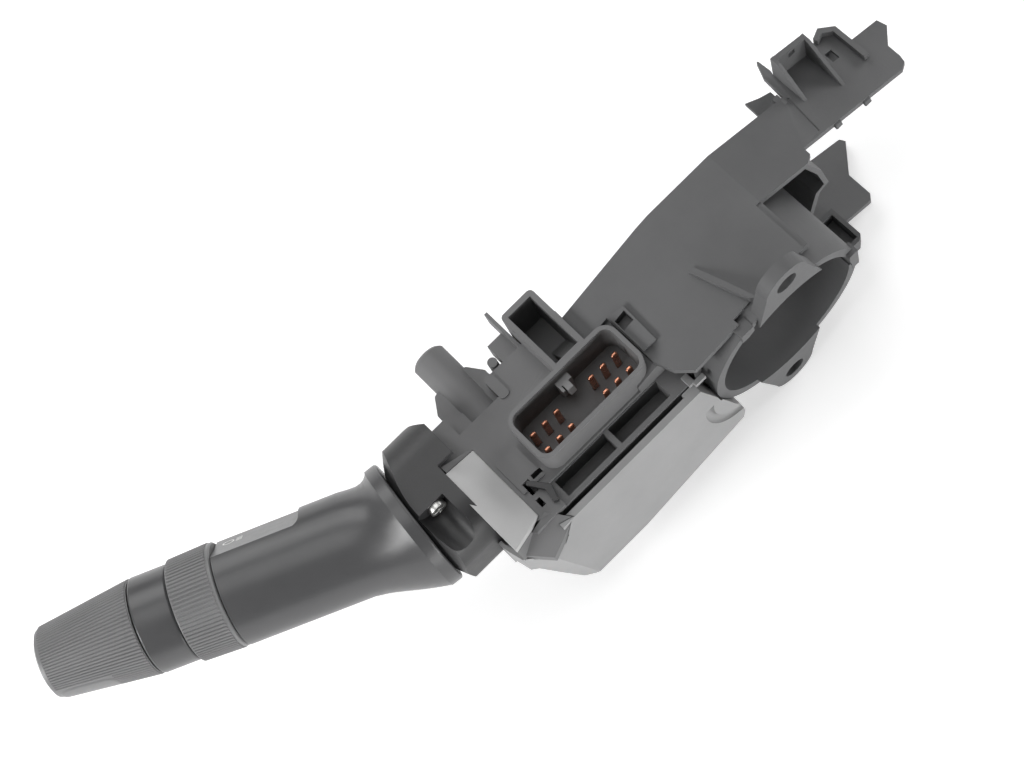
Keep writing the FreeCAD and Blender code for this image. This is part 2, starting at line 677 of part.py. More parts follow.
def case_screws():
    screws = []
    for x, y in CASE_SCREWS:
        head = cyl(2.9, V(x, y, COVER_BOTTOM - 0.6), V(0, 0, 1), 1.6)
        shank = cyl(1.5, V(x, y, COVER_BOTTOM + 0.5), V(0, 0, 1), 11.0)
        drive = prism_z([(x - 0.35, y - 1.6), (x + 0.35, y - 1.6), (x + 0.35, y + 1.6),
                         (x - 0.35, y + 1.6)], COVER_BOTTOM - 1, COVER_BOTTOM + 0.1)
        drive2 = prism_z([(x - 1.6, y - 0.35), (x + 1.6, y - 0.35), (x + 1.6, y + 0.35),
                          (x - 1.6, y + 0.35)], COVER_BOTTOM - 1, COVER_BOTTOM + 0.1)
        screws.append(fuse(head, shank).cut(drive).cut(drive2))
    return Part.makeCompound(screws)


# Nose

def nose_barrel(inset):
    r = 12.5 - inset
    y0 = NOSE_Y0 + inset
    y1 = NOSE_Y1 - inset
    h = NOSE_H - inset
    k = r * (1 - math.sqrt(0.5))
    x = -110.0
    pts = [V(x, y0 + r, -h), V(x, y1 - r, -h), V(x, y1, -h + r), V(x, y1, h - r),
           V(x, y1 - r, h), V(x, y0 + r, h), V(x, y0, h - r), V(x, y0, -h + r)]
    mids = [None, V(x, y1 - k, -h + k), None, V(x, y1 - k, h - k),
            None, V(x, y0 + k, h - k), None, V(x, y0 + k, -h + k)]
    edges = []
    for i in range(8):
        a = pts[i]
        b = pts[(i + 1) % 8]
        if mids[i] is None:
            edges.append(Part.makeLine(a, b))
        else:
            edges.append(Part.Arc(a, mids[i], b).toShape())
    return Part.Face(Part.Wire(edges)).extrude(V(NOSE_X1 - x, 0, 0))


def nose_shell():
    outer = nose_barrel(0.0).common(Part.makeSphere(NOSE_R, PIVOT))
    inner = nose_barrel(2.0).common(Part.makeSphere(NOSE_R - 2.2, PIVOT))
    body = outer.cut(inner)
    axis = V(-1, 0, 0)
    hole = cyl(14.2, V(-90, 30.6, 0), axis, 30)
    squeeze = box(-130, -80, 18.4, 42.8, -30, 30)
    body = body.cut(hole.common(squeeze))
    tail = box(-91.3, -80, 0, 34.1, -17.7, 30)
    body = body.cut(tail)
    body = body.cut(box(-91.6, -80, 34.0, HOUSE_Y1 + 0.1, -30, 12))
    body = body.cut(box(-93.3, -81.7, 34.1, HOUSE_Y1, 0.9, 12))
    rear = prism_z([(-93.6, 51.4), (-89.4, 49.6), (-85.4, 44.8), (-80, 44.8), (-80, 54),
                    (-93.6, 54)], -30, 30)
    return body.cut(cap_prism(0.02)).cut(rear)


def scoop_cut():
    centre = V(SCREW_X, 15.6, SCOOP_Z)
    return fuse(cyl(SCOOP_R, centre, V(0, 1, 0), 12.2), Part.makeSphere(SCOOP_R, centre))


def nose_split():
    shell = nose_shell()
    limit = nose_barrel(0.0).common(Part.makeSphere(NOSE_R, PIVOT))
    boss = cyl(3.2, V(SCREW_X + SCREW_OUT, 27.6, SCREW_Z), V(0, 1, 0), 12.0).common(limit)
    floor = cyl(SCOOP_R + 1.2, V(SCREW_X, 12.6, SCOOP_Z), V(0, 1, 0), 16.4).common(limit)
    both = fuse(shell, floor, boss).cut(scoop_cut())
    neck_room = cyl(14.2, V(-80, 30.6, 0), V(-1, 0, 0), 40)
    both = both.cut(neck_room.common(box(-130, -80, 18.4, 42.8, -30, 10.3)))
    both = both.cut(cyl(1.4, V(SCREW_X + SCREW_OUT, 20, SCREW_Z), V(0, 1, 0), 18.0))
    upper = both.common(box(-130, -60, PART_Y, 70, -40, 40))
    lower = both.common(box(-130, -60, -10, PART_Y, -40, 40))
    return biggest(upper), biggest(lower)


def biggest(shape):
    return max(shape.Solids, key=lambda s: s.Volume)


def nose_screw():
    x = SCREW_X + SCREW_OUT
    head = cyl(2.5, V(x, 26.2, SCREW_Z), V(0, 1, 0), 1.6)
    shank = cyl(1.4, V(x, 27.5, SCREW_Z), V(0, 1, 0), 10.3)
    slot = box(x - 1.8, x + 1.8, 26.0, 26.9, SCREW_Z - 0.35, SCREW_Z + 0.35)
    cross = box(x - 0.35, x + 0.35, 26.0, 26.9, SCREW_Z - 1.8, SCREW_Z + 1.8)
    return fuse(head, shank).cut(slot).cut(cross)


# Connector

def pin_centres():
    spots = []
    for row in range(2):
        for i in range(6):
            extra = PIN_GROUP_GAP - PIN_PITCH if i > 2 else 0.0
            spots.append((PIN_X + i * PIN_PITCH + extra, PIN_Y - row * PIN_ROW))
    return spots


def pin_shapes(grow):
    pins = []
    for x, y in pin_centres():
        w = PIN_W / 2 + grow
        t = PIN_T / 2 + grow
        body = box(x - w, x + w, y - t, y + t, PIN_TAIL, PIN_TIP)
        tip = [e for e in body.Edges if abs(e.CenterOfMass.z - PIN_TIP) < 0.01]
        pins.append(body.makeChamfer(0.35, tip))
    return pins


def connector_key():
    base = box(-55.0, -50.6, 26.4, 28.4, SHROUD_FLOOR, 15.6)
    tongue = prism_x([(26.5, 9.0), (26.5, 15.6), (24.4, 15.6), (23.4, 13.6), (24.8, 11.0)],
                     -53.8, -51.8)
    side = prism_x([(26.5, 9.0), (26.5, 15.6), (24.9, 15.6), (25.6, 9.0)], -55.0, -54.2)
    return fuse(base, tongue, side)


def terminal_board():
    board = box(-70.4, -36.2, 14.4, 24.2, CEILING - 1.6, CEILING)
    for shape in pin_shapes(0.0):
        board = board.cut(shape)
    return board


def latch_clip():
    arm = prism_z([(-78.6, 15.6), (-77.6, 16.4), (-73.6, 11.2), (-75.2, 6.8), (-76.6, 7.4),
                   (-75.8, 11.2)], HOUSE_TOP, HOUSE_TOP + 1.9)
    return biggest(arm.cut(latch_bed()))


def end_clip():
    foot = box(-30.8, -28.8, 4.0, 7.4, HOUSE_TOP - 1.5, 9.4)
    return fuse(foot, box(-29.6, -26.0, 2.8, 4.2, 8.4, 10.2))


# Inner contacts

def turn_contact_board():
    return box(-63.0, -53.2, 41.3, HOUSE_Y1 - HOUSE_WALL - 0.2, -12.0, 6.0)


def beam_contact_board():
    return box(-88.6, -78.4, 19.4, 38.4, -16.2, -15.2)


def contact_strips():
    strips = []
    for i in range(3):
        x = -61.4 + i * 3.2
        strips.append(box(x - 0.9, x + 0.9, 40.9, 41.3, -10.0, 5.0))
    for i in range(3):
        x = -87.2 + i * 3.2
        strips.append(box(x - 0.8, x + 0.8, 20.6, 37.4, -15.2, -14.8))
    return Part.makeCompound(strips)


def detent_track():
    axis = V(0, 1, 0)
    back = box(-50.8, -46.6, 24.6, 29.0, -9.0, CEILING)
    back = back.cut(cyl(TRACK_R, V(PIVOT.x, 20, 0), axis, 20))
    for angle in (-10.0, 0.0, 10.0):
        a = math.radians(angle)
        r = TRACK_R - 0.3
        back = back.cut(cyl(1.7, V(PIVOT.x + r * math.cos(a), 20, r * math.sin(a)), axis, 20))
    return back


def turn_carrier():
    parts = []
    for z0, z1 in ((ARM_IN, ARM_OUT), (-ARM_OUT, -ARM_IN)):
        parts.append(box(-77.4, -65.0, 24.8, 33.2, z0, z1))
        parts.append(box(-77.4, -71.6, 22.4, 25.0, z0, z1))
    bridge = box(-66.6, -65.0, 24.8, 33.2, -ARM_OUT, ARM_OUT)
    front = box(-77.0, -71.6, 22.4, 23.9, -ARM_OUT, ARM_OUT)
    stub = cyl(PIVOT_PIN_R, V(PIVOT.x, 15.4, 0), V(0, 1, 0), 7.6)
    rear = box(-76.4, -65.0, 33.1, 36.4, -ARM_OUT, ARM_OUT)
    barrel = box(-66.0, -57.0, 24.8, 29.4, -2.4, 2.4)
    peg_arm = box(-66.0, -56.4, 31.4, 34.6, -2.0, 2.0)
    peg = cyl(PEG_R, V(PEG_X, 34.4, 0), V(0, 1, 0), 3.8)
    body = fuse(bridge, front, stub, rear, barrel, peg_arm, peg, *parts)
    body = body.cut(cyl(BEAM_PIN_R, PIVOT - V(0, 0, 6), V(0, 0, 1), 12))
    body = body.cut(cyl(PLUNGER_R + RUN, V(-63.4, PLUNGER_Y, 0), V(1, 0, 0), 10))
    return body.cut(cyl(PIVOT_PIN_R, V(PIVOT.x, 33.0, 0), V(0, 1, 0), 5))


def turn_pivot_pin():
    return cyl(PIVOT_PIN_R, V(PIVOT.x, 33.0, 0), V(0, 1, 0), 27.0)


def detent_plunger():
    body = cyl(PLUNGER_R, V(-58.6, PLUNGER_Y, 0), V(1, 0, 0), 7.4)
    tip = Part.makeSphere(PLUNGER_R, V(-51.7, PLUNGER_Y, 0))
    return fuse(body.cut(box(-51.7, -50, 20, 35, -5, 5)), tip)


def coil(r, wire_r, start, axis, length, turns):
    path = Part.makeHelix(length / turns, length, r)
    square = [V(r - wire_r, 0, -wire_r), V(r + wire_r, 0, -wire_r), V(r + wire_r, 0, wire_r),
              V(r - wire_r, 0, wire_r)]
    body = Part.Wire(path).makePipeShell([Part.Wire(poly(square))], True, True)
    spin = FreeCAD.Rotation(V(0, 0, 1), axis)
    body.Placement = FreeCAD.Placement(start, spin)
    return body


def detent_spring():
    return coil(1.1, 0.22, V(-63.1, PLUNGER_Y, 0), V(1, 0, 0), 4.2, 5)


def turn_contact_slider():
    body = box(-62.0, -53.4, 36.9, 40.65, -5.0, 3.0)
    return body.cut(box(PEG_X - 1.8, PEG_X + 1.8, 36.0, 41.0, -1.6, 1.6))


def cancel_pawl():
    hub = cyl(3.4, PAWL, V(0, 1, 0), 5.0)
    arm = prism_y([(-43.0, -11.0), (-33.0, -12.6), (-31.2, -13.6), (-33.0, -15.0),
                   (-43.0, -17.0)], 17.0, 22.0)
    body = fuse(hub, arm)
    return body.cut(cyl(PAWL_PIN_R + RUN, V(PAWL.x, 16, PAWL.z), V(0, 1, 0), 8))


def cancel_pawl_pin():
    return cyl(PAWL_PIN_R, V(PAWL.x, 14.6, PAWL.z), V(0, 1, 0), 9.8)


def pawl_posts():
    return [box(-46.4, -39.6, y, y + 2.1, HOUSE_BOTTOM - 0.5, -10.6) for y in (14.6, 22.3)]


# Stalk

def flare():
    # The mouth plane leans less than the tube axis, so the sections turn from one to the other.
    sections = []
    for at in FLARE_STEPS:
        part = (FLARE_LEN - at) / (FLARE_LEN - FLARE_STEPS[-1])
        axis = U * (1 - part ** 1.6) + RIM_N * part ** 1.6
        centre = RIM + axis * at
        sections.append(circle_wire(centre, axis, TUBE_R + FLARE_RISE * part ** 2.3))
    bell = Part.makeLoft(sections, True, True)
    lip = cyl(RIM_R, RIM, RIM_N, LIP_T)
    lip = lip.makeFillet(0.8, [e for e in lip.Edges if e.Length > 50
                               and e.CenterOfMass.distanceToPoint(RIM) < 0.1])
    return fuse(bell, lip)


def stalk_lever():
    tube = cyl(TUBE_R, stalk_point(FLARE_LEN), U, TUBE_END - FLARE_LEN)
    spigot = cyl(SPIGOT_R, stalk_point(TUBE_END - 1), U, RING_END - TUBE_END + 1)
    body = fuse(flare(), tube, spigot)
    body = body.cut(cyl(BORE_TUBE_R, stalk_point(18.0), U, RING_END))
    body = body.cut(Part.makeSphere(DISH_R, PIVOT))
    body = body.cut(label_panel())
    return body.cut(neck_shaft())


def label_panel():
    # Flat recess for the symbols, between the driver side of the tube and its top.
    side = V(math.sin(SWEEP), math.cos(SWEEP), 0)
    normal = side * math.cos(LABEL_TURN) + V(0, 0, 1) * math.sin(LABEL_TURN)
    flat = TUBE_R - LABEL_DEPTH
    half = math.sqrt(TUBE_R ** 2 - flat ** 2) + 0.2
    cutter = Part.makeBox(LABEL_LEN + 5.0, 2 * half, 12, V(0, -half, 0))
    corners = [e for e in cutter.Edges if along_z(e, 0, half) or along_z(e, 0, -half)]
    cutter = cutter.makeFillet(3.0, corners)
    turn = FreeCAD.Rotation(U, V(0, 0, 0), normal, "ZXY")
    cutter.Placement = FreeCAD.Placement(stalk_point(TUBE_END - LABEL_LEN) + normal * flat, turn)
    return cutter.common(cyl(TUBE_R + 8.0, stalk_point(FLARE_LEN), U, TUBE_END - FLARE_LEN))


def neck_direction():
    direction = RIM - PIVOT
    return direction.normalize()


def neck_shaft():
    direction = neck_direction()
    return cyl(NECK_R, PIVOT + direction * NECK_START, direction, NECK_END - NECK_START)


def stalk_neck():
    direction = neck_direction()
    side = V(0, 0, 1).cross(direction)
    h = TONGUE_H / 2
    hub = cyl(TONGUE_R, PIVOT - V(0, 0, h), V(0, 0, 1), TONGUE_H)
    root = PIVOT - V(0, 0, h)
    tip = root + direction * (NECK_START + 1.5)
    outline = [root + side * TONGUE_R * 0.92, root - side * TONGUE_R * 0.92,
               tip - side * (NECK_R - 0.5), tip + side * (NECK_R - 0.5)]
    tongue = Part.Face(poly(outline)).extrude(V(0, 0, TONGUE_H))
    foot = PIVOT + direction * FINGER_AT - V(0, 0, 11.0)
    finger = cyl(FINGER_R, foot, V(0, 0, 1), 10.0)
    body = fuse(neck_shaft(), hub, tongue, finger)
    return body.cut(cyl(BEAM_PIN_R + RUN, PIVOT - V(0, 0, 6), V(0, 0, 1), 12))


def beam_pivot_pin():
    return cyl(BEAM_PIN_R, PIVOT - V(0, 0, ARM_OUT), V(0, 0, 1), 2 * ARM_OUT)


def beam_contact_slider():
    y = (PIVOT + neck_direction() * FINGER_AT).y
    body = box(-88.0, -80.0, y - 5.0, y + 5.0, -14.55, -6.5)
    gap = FINGER_R + END_GAP
    return body.cut(box(-95.0, -70.0, y - gap, y + gap, -13.3, -5.0))


def ribbed_cone(s0, s1, r0, r1, smooth_half):
    # Fine V ribs on a cone, left plain over a sector on the lower side.
    def ring(s, r):
        pts = []
        n = RIBS * 2
        side = V(math.sin(SWEEP), math.cos(SWEEP), 0)
        up = V(0, 0, 1)
        for i in range(n):
            a = 2 * math.pi * i / n
            away = abs(((a - SMOOTH_DIR + math.pi) % (2 * math.pi)) - math.pi)
            deep = RIB_DEPTH if (i % 2 and away > smooth_half) else 0.0
            rr = r - deep
            pts.append(stalk_point(s) + side * (rr * math.cos(a)) + up * (rr * math.sin(a)))
        return Part.Wire(poly(pts))
    return Part.makeLoft([ring(s0, r0), ring(s1, r1)], True, True)


def fog_ring():
    s0 = TUBE_END + END_GAP
    s1 = FOG_END - END_GAP
    body = ribbed_cone(s0, s1, FOG_R, FOG_R - 0.45, 0.0)
    collar = cyl(FOG_R - 0.3, stalk_point(s0), U, 1.2)
    body = fuse(body, collar)
    return body.cut(cyl(SPIGOT_R + RUN, stalk_point(s0 - 1), U, s1 - s0 + 2))


def index_ring():
    body = cyl(RING_R, stalk_point(FOG_END), U, RING_END - FOG_END)
    edge = [e for e in body.Edges if e.Length > 50]
    body = body.makeChamfer(0.4, edge)
    return body.cut(cyl(SPIGOT_R, stalk_point(FOG_END - 1), U, RING_END - FOG_END + 2))


def end_knob():
    s0 = RING_END + END_GAP
    s1 = TIP_END - 2.0
    body = ribbed_cone(s0, s1, RING_R - 0.05, KNOB_TIP_R, math.radians(24))
    cap = Part.makeCone(KNOB_TIP_R - RIB_DEPTH, KNOB_TIP_R - 2.6, 2.0, stalk_point(s1), U)
    body = fuse(body, cap)
    hollow = cyl(9.0, stalk_point(s0 - 1), U, 12.0)
    body = body.cut(hollow)
    hub = cyl(5.0, stalk_point(s0 + 0.6), U, 14.0)
    body = fuse(body, hub)
    return body.cut(cyl(2.5, stalk_point(s0 - 1), U, 20.0))


def knob_shaft():
    return cyl(2.5, stalk_point(24.0), U, RING_END + END_GAP + 19.0 - 24.0)


def rotary_hub():
    body = cyl(7.5, stalk_point(27.0), U, 3.5)
    return body.cut(cyl(2.5, stalk_point(26.0), U, 6.0))


def rotary_disc():
    body = cyl(BORE_TUBE_R, stalk_point(31.2), U, 1.8)
    rim = cyl(BORE_TUBE_R, stalk_point(31.2), U, 5.0).cut(cyl(9.2, stalk_point(31.0), U, 6.0))
    body = fuse(body, rim)
    return body.cut(cyl(2.5 + RUN, stalk_point(30.0), U, 6.0))


def guide_plug():
    body = cyl(BORE_TUBE_R, stalk_point(RING_END - 4.0), U, 3.4)
    return body.cut(cyl(2.5 + RUN, stalk_point(RING_END - 5.0), U, 6.0))


def main():
    os.makedirs("parts", exist_ok=True)
    nose_up, nose_low = nose_split()
    save(biggest(column_bracket()), "column_bracket")
    save(switch_housing(), "switch_housing")
    save(case_cover(), "case_cover")
    save(block_cap(), "block_cap")
    save(nose_up, "nose_upper_shell")
    save(nose_low, "nose_lower_shell")
    save(nose_screw(), "nose_screw")
    save(Part.makeCompound(pin_shapes(0.0)), "connector_pins")
    save(connector_key(), "connector_key")
    save(terminal_board(), "terminal_board")
    save(latch_clip(), "latch_clip")
    save(end_clip(), "end_clip")
    save(turn_contact_board(), "turn_contact_board")
    save(beam_contact_board(), "beam_contact_board")
    save(contact_strips(), "contact_strips")
    save(detent_track(), "detent_track")
    save(case_screws(), "case_screws")
    save(turn_carrier(), "turn_carrier")
    save(turn_pivot_pin(), "turn_pivot_pin")
    save(detent_plunger(), "detent_plunger")
    save(detent_spring(), "detent_spring")
    save(turn_contact_slider(), "turn_contact_slider")
    save(cancel_pawl(), "cancel_pawl")
    save(cancel_pawl_pin(), "cancel_pawl_pin")
    save(stalk_lever(), "stalk_lever")
    save(stalk_neck(), "stalk_neck")
    save(beam_pivot_pin(), "beam_pivot_pin")
    save(beam_contact_slider(), "beam_contact_slider")
    save(index_ring(), "index_ring")
    save(fog_ring(), "fog_ring")
    save(end_knob(), "end_knob")
    save(knob_shaft(), "knob_shaft")
    save(rotary_hub(), "rotary_contact_hub")
    save(rotary_disc(), "rotary_contact_disc")
    save(guide_plug(), "shaft_guide_plug")


main()
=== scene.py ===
import math

import bmesh
import bpy
from bpy.props import FloatProperty, FloatVectorProperty, IntProperty, PointerProperty
from mathutils import Matrix, Vector


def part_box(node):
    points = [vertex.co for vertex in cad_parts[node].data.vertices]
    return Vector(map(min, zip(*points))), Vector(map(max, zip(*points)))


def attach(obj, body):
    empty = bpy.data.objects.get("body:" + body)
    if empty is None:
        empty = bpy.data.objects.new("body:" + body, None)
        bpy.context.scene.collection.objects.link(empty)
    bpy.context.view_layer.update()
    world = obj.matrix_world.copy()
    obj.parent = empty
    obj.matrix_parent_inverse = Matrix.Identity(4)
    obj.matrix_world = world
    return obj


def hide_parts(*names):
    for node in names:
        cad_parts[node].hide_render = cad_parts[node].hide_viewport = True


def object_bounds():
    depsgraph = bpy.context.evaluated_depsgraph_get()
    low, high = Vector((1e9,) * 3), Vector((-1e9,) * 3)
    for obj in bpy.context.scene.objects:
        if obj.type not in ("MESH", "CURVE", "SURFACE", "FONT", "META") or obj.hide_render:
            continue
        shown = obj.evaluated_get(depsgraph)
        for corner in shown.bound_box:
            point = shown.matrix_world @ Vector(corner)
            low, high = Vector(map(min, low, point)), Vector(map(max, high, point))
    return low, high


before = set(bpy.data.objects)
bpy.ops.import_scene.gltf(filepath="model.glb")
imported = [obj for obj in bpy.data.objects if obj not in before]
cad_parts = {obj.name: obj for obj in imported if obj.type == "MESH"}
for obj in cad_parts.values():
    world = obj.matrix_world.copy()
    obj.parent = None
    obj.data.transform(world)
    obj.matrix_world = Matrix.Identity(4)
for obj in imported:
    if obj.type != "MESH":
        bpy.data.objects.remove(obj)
CAD_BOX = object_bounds()

bl_info = {
    "name": "Stalk Switch",
    "version": (1, 0, 0),
    "blender": (4, 5, 0),
    "location": "View3D > Sidebar > Stalk Switch",
    "description": "Builds the visible pieces of a steering column stalk switch around its frame",
    "category": "Object",
}

MM = 0.001

# The stalk. Its axis runs from the mouth of the bell to the tip of the knob; spans and radii are in mm.
SWEEP = math.radians(24.5)
STALK_MOUTH = Vector((-104.437, 32.84, 0.0)) * MM
STALK_AXIS = Vector((-math.cos(SWEEP), math.sin(SWEEP), 0.0))
DRIVER_SIDE = Vector((math.sin(SWEEP), math.cos(SWEEP), 0.0))
FOG_RING_SPAN = (53.95, 66.85)
FOG_RING_RADII = (14.8, 14.4)
KNOB_SPAN = (78.45, 107.6)
KNOB_RADIUS = 13.45
KNOB_TIP_RADIUS = 10.3
KNOB_RIB_TIP_RADIUS = 10.27
SPIGOT_RADIUS = 12.06

# The smooth pad on the knob, on the side away from the driver
PAD_SHARE = 0.59
PAD_HALF_ANGLE = math.radians(24.0)
PAD_DIRECTION = math.pi
PAD_STEPS = (28, 40)
RIBS_ALL_ROUND = -1.0

# The flat on the stalk and the marks painted on it, in mm along the stalk and across the flat
LABEL_TURN = math.radians(30.0)
LABEL_FLAT = 12.65
MARK_PLACE = (49.6, -2.0)
MARK_RING = (1.5, 0.2)
MARK_BARS_AT = -3.1
MARK_BAR_HALF = 0.9
MARK_ROW_HALF = 1.6
MARK_BAR_STEP = 0.8

# The thin groove across the bracket's upper arm, in mm
ARM_GROOVE = ((41.2, 38.5, 17.6), (40.0, 26.0, 17.93))
GROOVE_WIDTH = 0.45
GROOVE_DEPTH = 0.35

# Camera fitted to the photograph
CAMERA_PLACE = Vector((-0.10002, -0.14979, 0.55491))
CAMERA_RIGHT = Vector((0.7113, -0.6781, -0.1848))
CAMERA_BACK = Vector((-0.0650, -0.3253, 0.9434))
CAMERA_LENS = 77.69

# Connector contacts
PIN_FIRST = Vector((-68.3, 22.5, 0.0)) * MM
PIN_PITCH = 4.2 * MM
PIN_ROW = 5.52 * MM
PIN_GROUP_GAP = 12.6 * MM
PIN_ROUNDING = 0.0005

NECK_COLOUR = (0.02, 0.02, 0.022)
SCREW_ROUNDING = 0.00012
SHARP_ANGLE = math.radians(35.0)

# Each lamp's place from the middle of the part, its size in metres and its power in watts
LAMPS = (
    ("rear lamp", (0.05, 0.75, 0.6), (0.9, 0.5), 4.2),
    ("front lamp", (0.2, -0.9, 0.05), (0.8, 0.35), 7.5),
    ("left lamp", (-0.9, 0.0, 0.35), (0.5, 0.3), 6.4),
    ("right lamp", (0.9, 0.1, 0.35), (0.6, 0.4), 2.7),
    ("top lamp", (0.0, 0.15, 1.0), (0.8, 0.6), 3.0))
WORLD_LIGHT = 0.05
FLOOR_HALF = 2.5
FLOOR_GAP = 0.0006


def colour_prop(name, text, value):
    return FloatVectorProperty(name=name, description=text, default=value, size=3, min=0.0,
                               max=1.0, subtype="COLOR")


def length_prop(name, text, value):
    return FloatProperty(name=name, description=text, default=value, min=0.0,
                         subtype="DISTANCE", unit="LENGTH")


class SwitchColours(bpy.types.PropertyGroup):
    """Colours of the switch's plastics and metals"""
    bracket: colour_prop("Bracket", "Grained plastic of the column bracket", (0.124, 0.125, 0.127))
    housing: colour_prop("Housing", "Plastic of the switch housing", (0.17, 0.17, 0.172))
    # The cover's light grey is painted light: the colour is set lighter than the housing's to stand in
    # for the light that falls on the cover's front faces.
    cover: colour_prop("Cover", "Light plastic of the case cover", (0.335, 0.335, 0.337))
    # The cap's pale grey is painted light: the colour stands in for the light that falls on the cap's
    # sloping top.
    cap: colour_prop("Cap", "Plastic of the sloping cap", (0.5, 0.5, 0.5))
    # The nose's near-black is partly its own dark plastic and partly painted shade, set darker to shade
    # the scoop in the nose.
    nose: colour_prop("Nose", "Plastic of the nose shells", (0.034, 0.034, 0.035))
    stalk: colour_prop("Stalk", "Satin plastic of the stalk", (0.08, 0.08, 0.082))
    grip: colour_prop("Grips", "Satin plastic of the knob and ring", (0.195, 0.195, 0.197))
    white: colour_prop("White plastic", "Slippery plastic of the moving inner pieces",
                       (0.72, 0.7, 0.64))
    board: colour_prop("Board", "Laminate of the contact boards", (0.2, 0.1, 0.035))
    copper: colour_prop("Copper", "Contact metal", (0.62, 0.28, 0.18))
    zinc: colour_prop("Zinc", "Bright plated steel", (0.72, 0.72, 0.7))
    mark: colour_prop("Marks", "Paint of the marks on the stalk", (0.6, 0.6, 0.59))
    steel: colour_prop("Steel", "Ground steel of the pins", (0.46, 0.46, 0.47))


class SwitchSizes(bpy.types.PropertyGroup):
    """Small sizes that finish the moulded pieces"""
    edge_round: length_prop("Edge rounding", "Rounding of the moulded edges", 0.00028)
    rib_count: IntProperty(name="Ribs", description="Ribs round the knob and the fog ring",
                           default=80, min=12, max=120)
    rib_radius: length_prop("Rib radius", "Radius of one grip rib", 0.0004)
    rib_depth: length_prop("Rib depth", "How far the grooves lie under the ribs", 0.00035)
    pin_width: length_prop("Pin width", "Width of one contact pin", 0.0019)
    pin_thickness: length_prop("Pin thickness", "Thickness of one contact pin", 0.0011)


# Materials

def shader_nodes(name):
    material = bpy.data.materials.new(name)
    material.use_nodes = True
    nodes = material.node_tree.nodes
    links = material.node_tree.links
    nodes.clear()
    shader = nodes.new("ShaderNodeBsdfPrincipled")
    output = nodes.new("ShaderNodeOutputMaterial")
    links.new(shader.outputs["BSDF"], output.inputs["Surface"])
    place = nodes.new("ShaderNodeTexCoord")
    return material, nodes, links, shader, place


def noise(nodes, links, place, scale, detail=3.0, roughness=0.55):
    texture = nodes.new("ShaderNodeTexNoise")
    texture.inputs["Scale"].default_value = scale
    texture.inputs["Detail"].default_value = detail
    texture.inputs["Roughness"].default_value = roughness
    links.new(place.outputs["Object"], texture.inputs["Vector"])
    return texture.outputs["Fac"]


def span(nodes, links, source, low, high, to_low, to_high):
    limits = nodes.new("ShaderNodeMapRange")
    limits.inputs["From Min"].default_value = low
    limits.inputs["From Max"].default_value = high
    limits.inputs["To Min"].default_value = to_low
    limits.inputs["To Max"].default_value = to_high
    links.new(source, limits.inputs["Value"])
    return limits.outputs["Result"]


def tint(nodes, links, factor, colour, low, high):
    mix = nodes.new("ShaderNodeMix")
    mix.data_type = "RGBA"
    a = [c for c in mix.inputs if c.type == "RGBA"][0]
    b = [c for c in mix.inputs if c.type == "RGBA"][1]
    a.default_value = (*[min(1.0, c * low) for c in colour], 1.0)
    b.default_value = (*[min(1.0, c * high) for c in colour], 1.0)
    links.new(factor, mix.inputs["Factor"])
    return [c for c in mix.outputs if c.type == "RGBA"][0]


def grained_plastic(name, colour, rough=0.5, grain=1900.0, depth=0.00004, sheen=0.5):
    """Moulded plastic: fine spark-eroded grain, faint flow clouds and a few rub marks."""
    material, nodes, links, shader, place = shader_nodes(name)
    clouds = noise(nodes, links, place, 55.0, 4.0, 0.6)
    links.new(tint(nodes, links, span(nodes, links, clouds, 0.3, 0.7, 0.0, 1.0), colour, 0.95, 1.06),
              shader.inputs["Base Color"])
    rubs = noise(nodes, links, place, 320.0, 5.0, 0.7)
    links.new(span(nodes, links, rubs, 0.3, 0.72, rough + 0.03, rough - 0.04),
              shader.inputs["Roughness"])
    fine = noise(nodes, links, place, grain, 2.0, 0.5)
    bump = nodes.new("ShaderNodeBump")
    bump.inputs["Strength"].default_value = 0.5
    bump.inputs["Distance"].default_value = depth
    links.new(fine, bump.inputs["Height"])
    links.new(bump.outputs["Normal"], shader.inputs["Normal"])
    shader.inputs["Specular IOR Level"].default_value = sheen
    return material


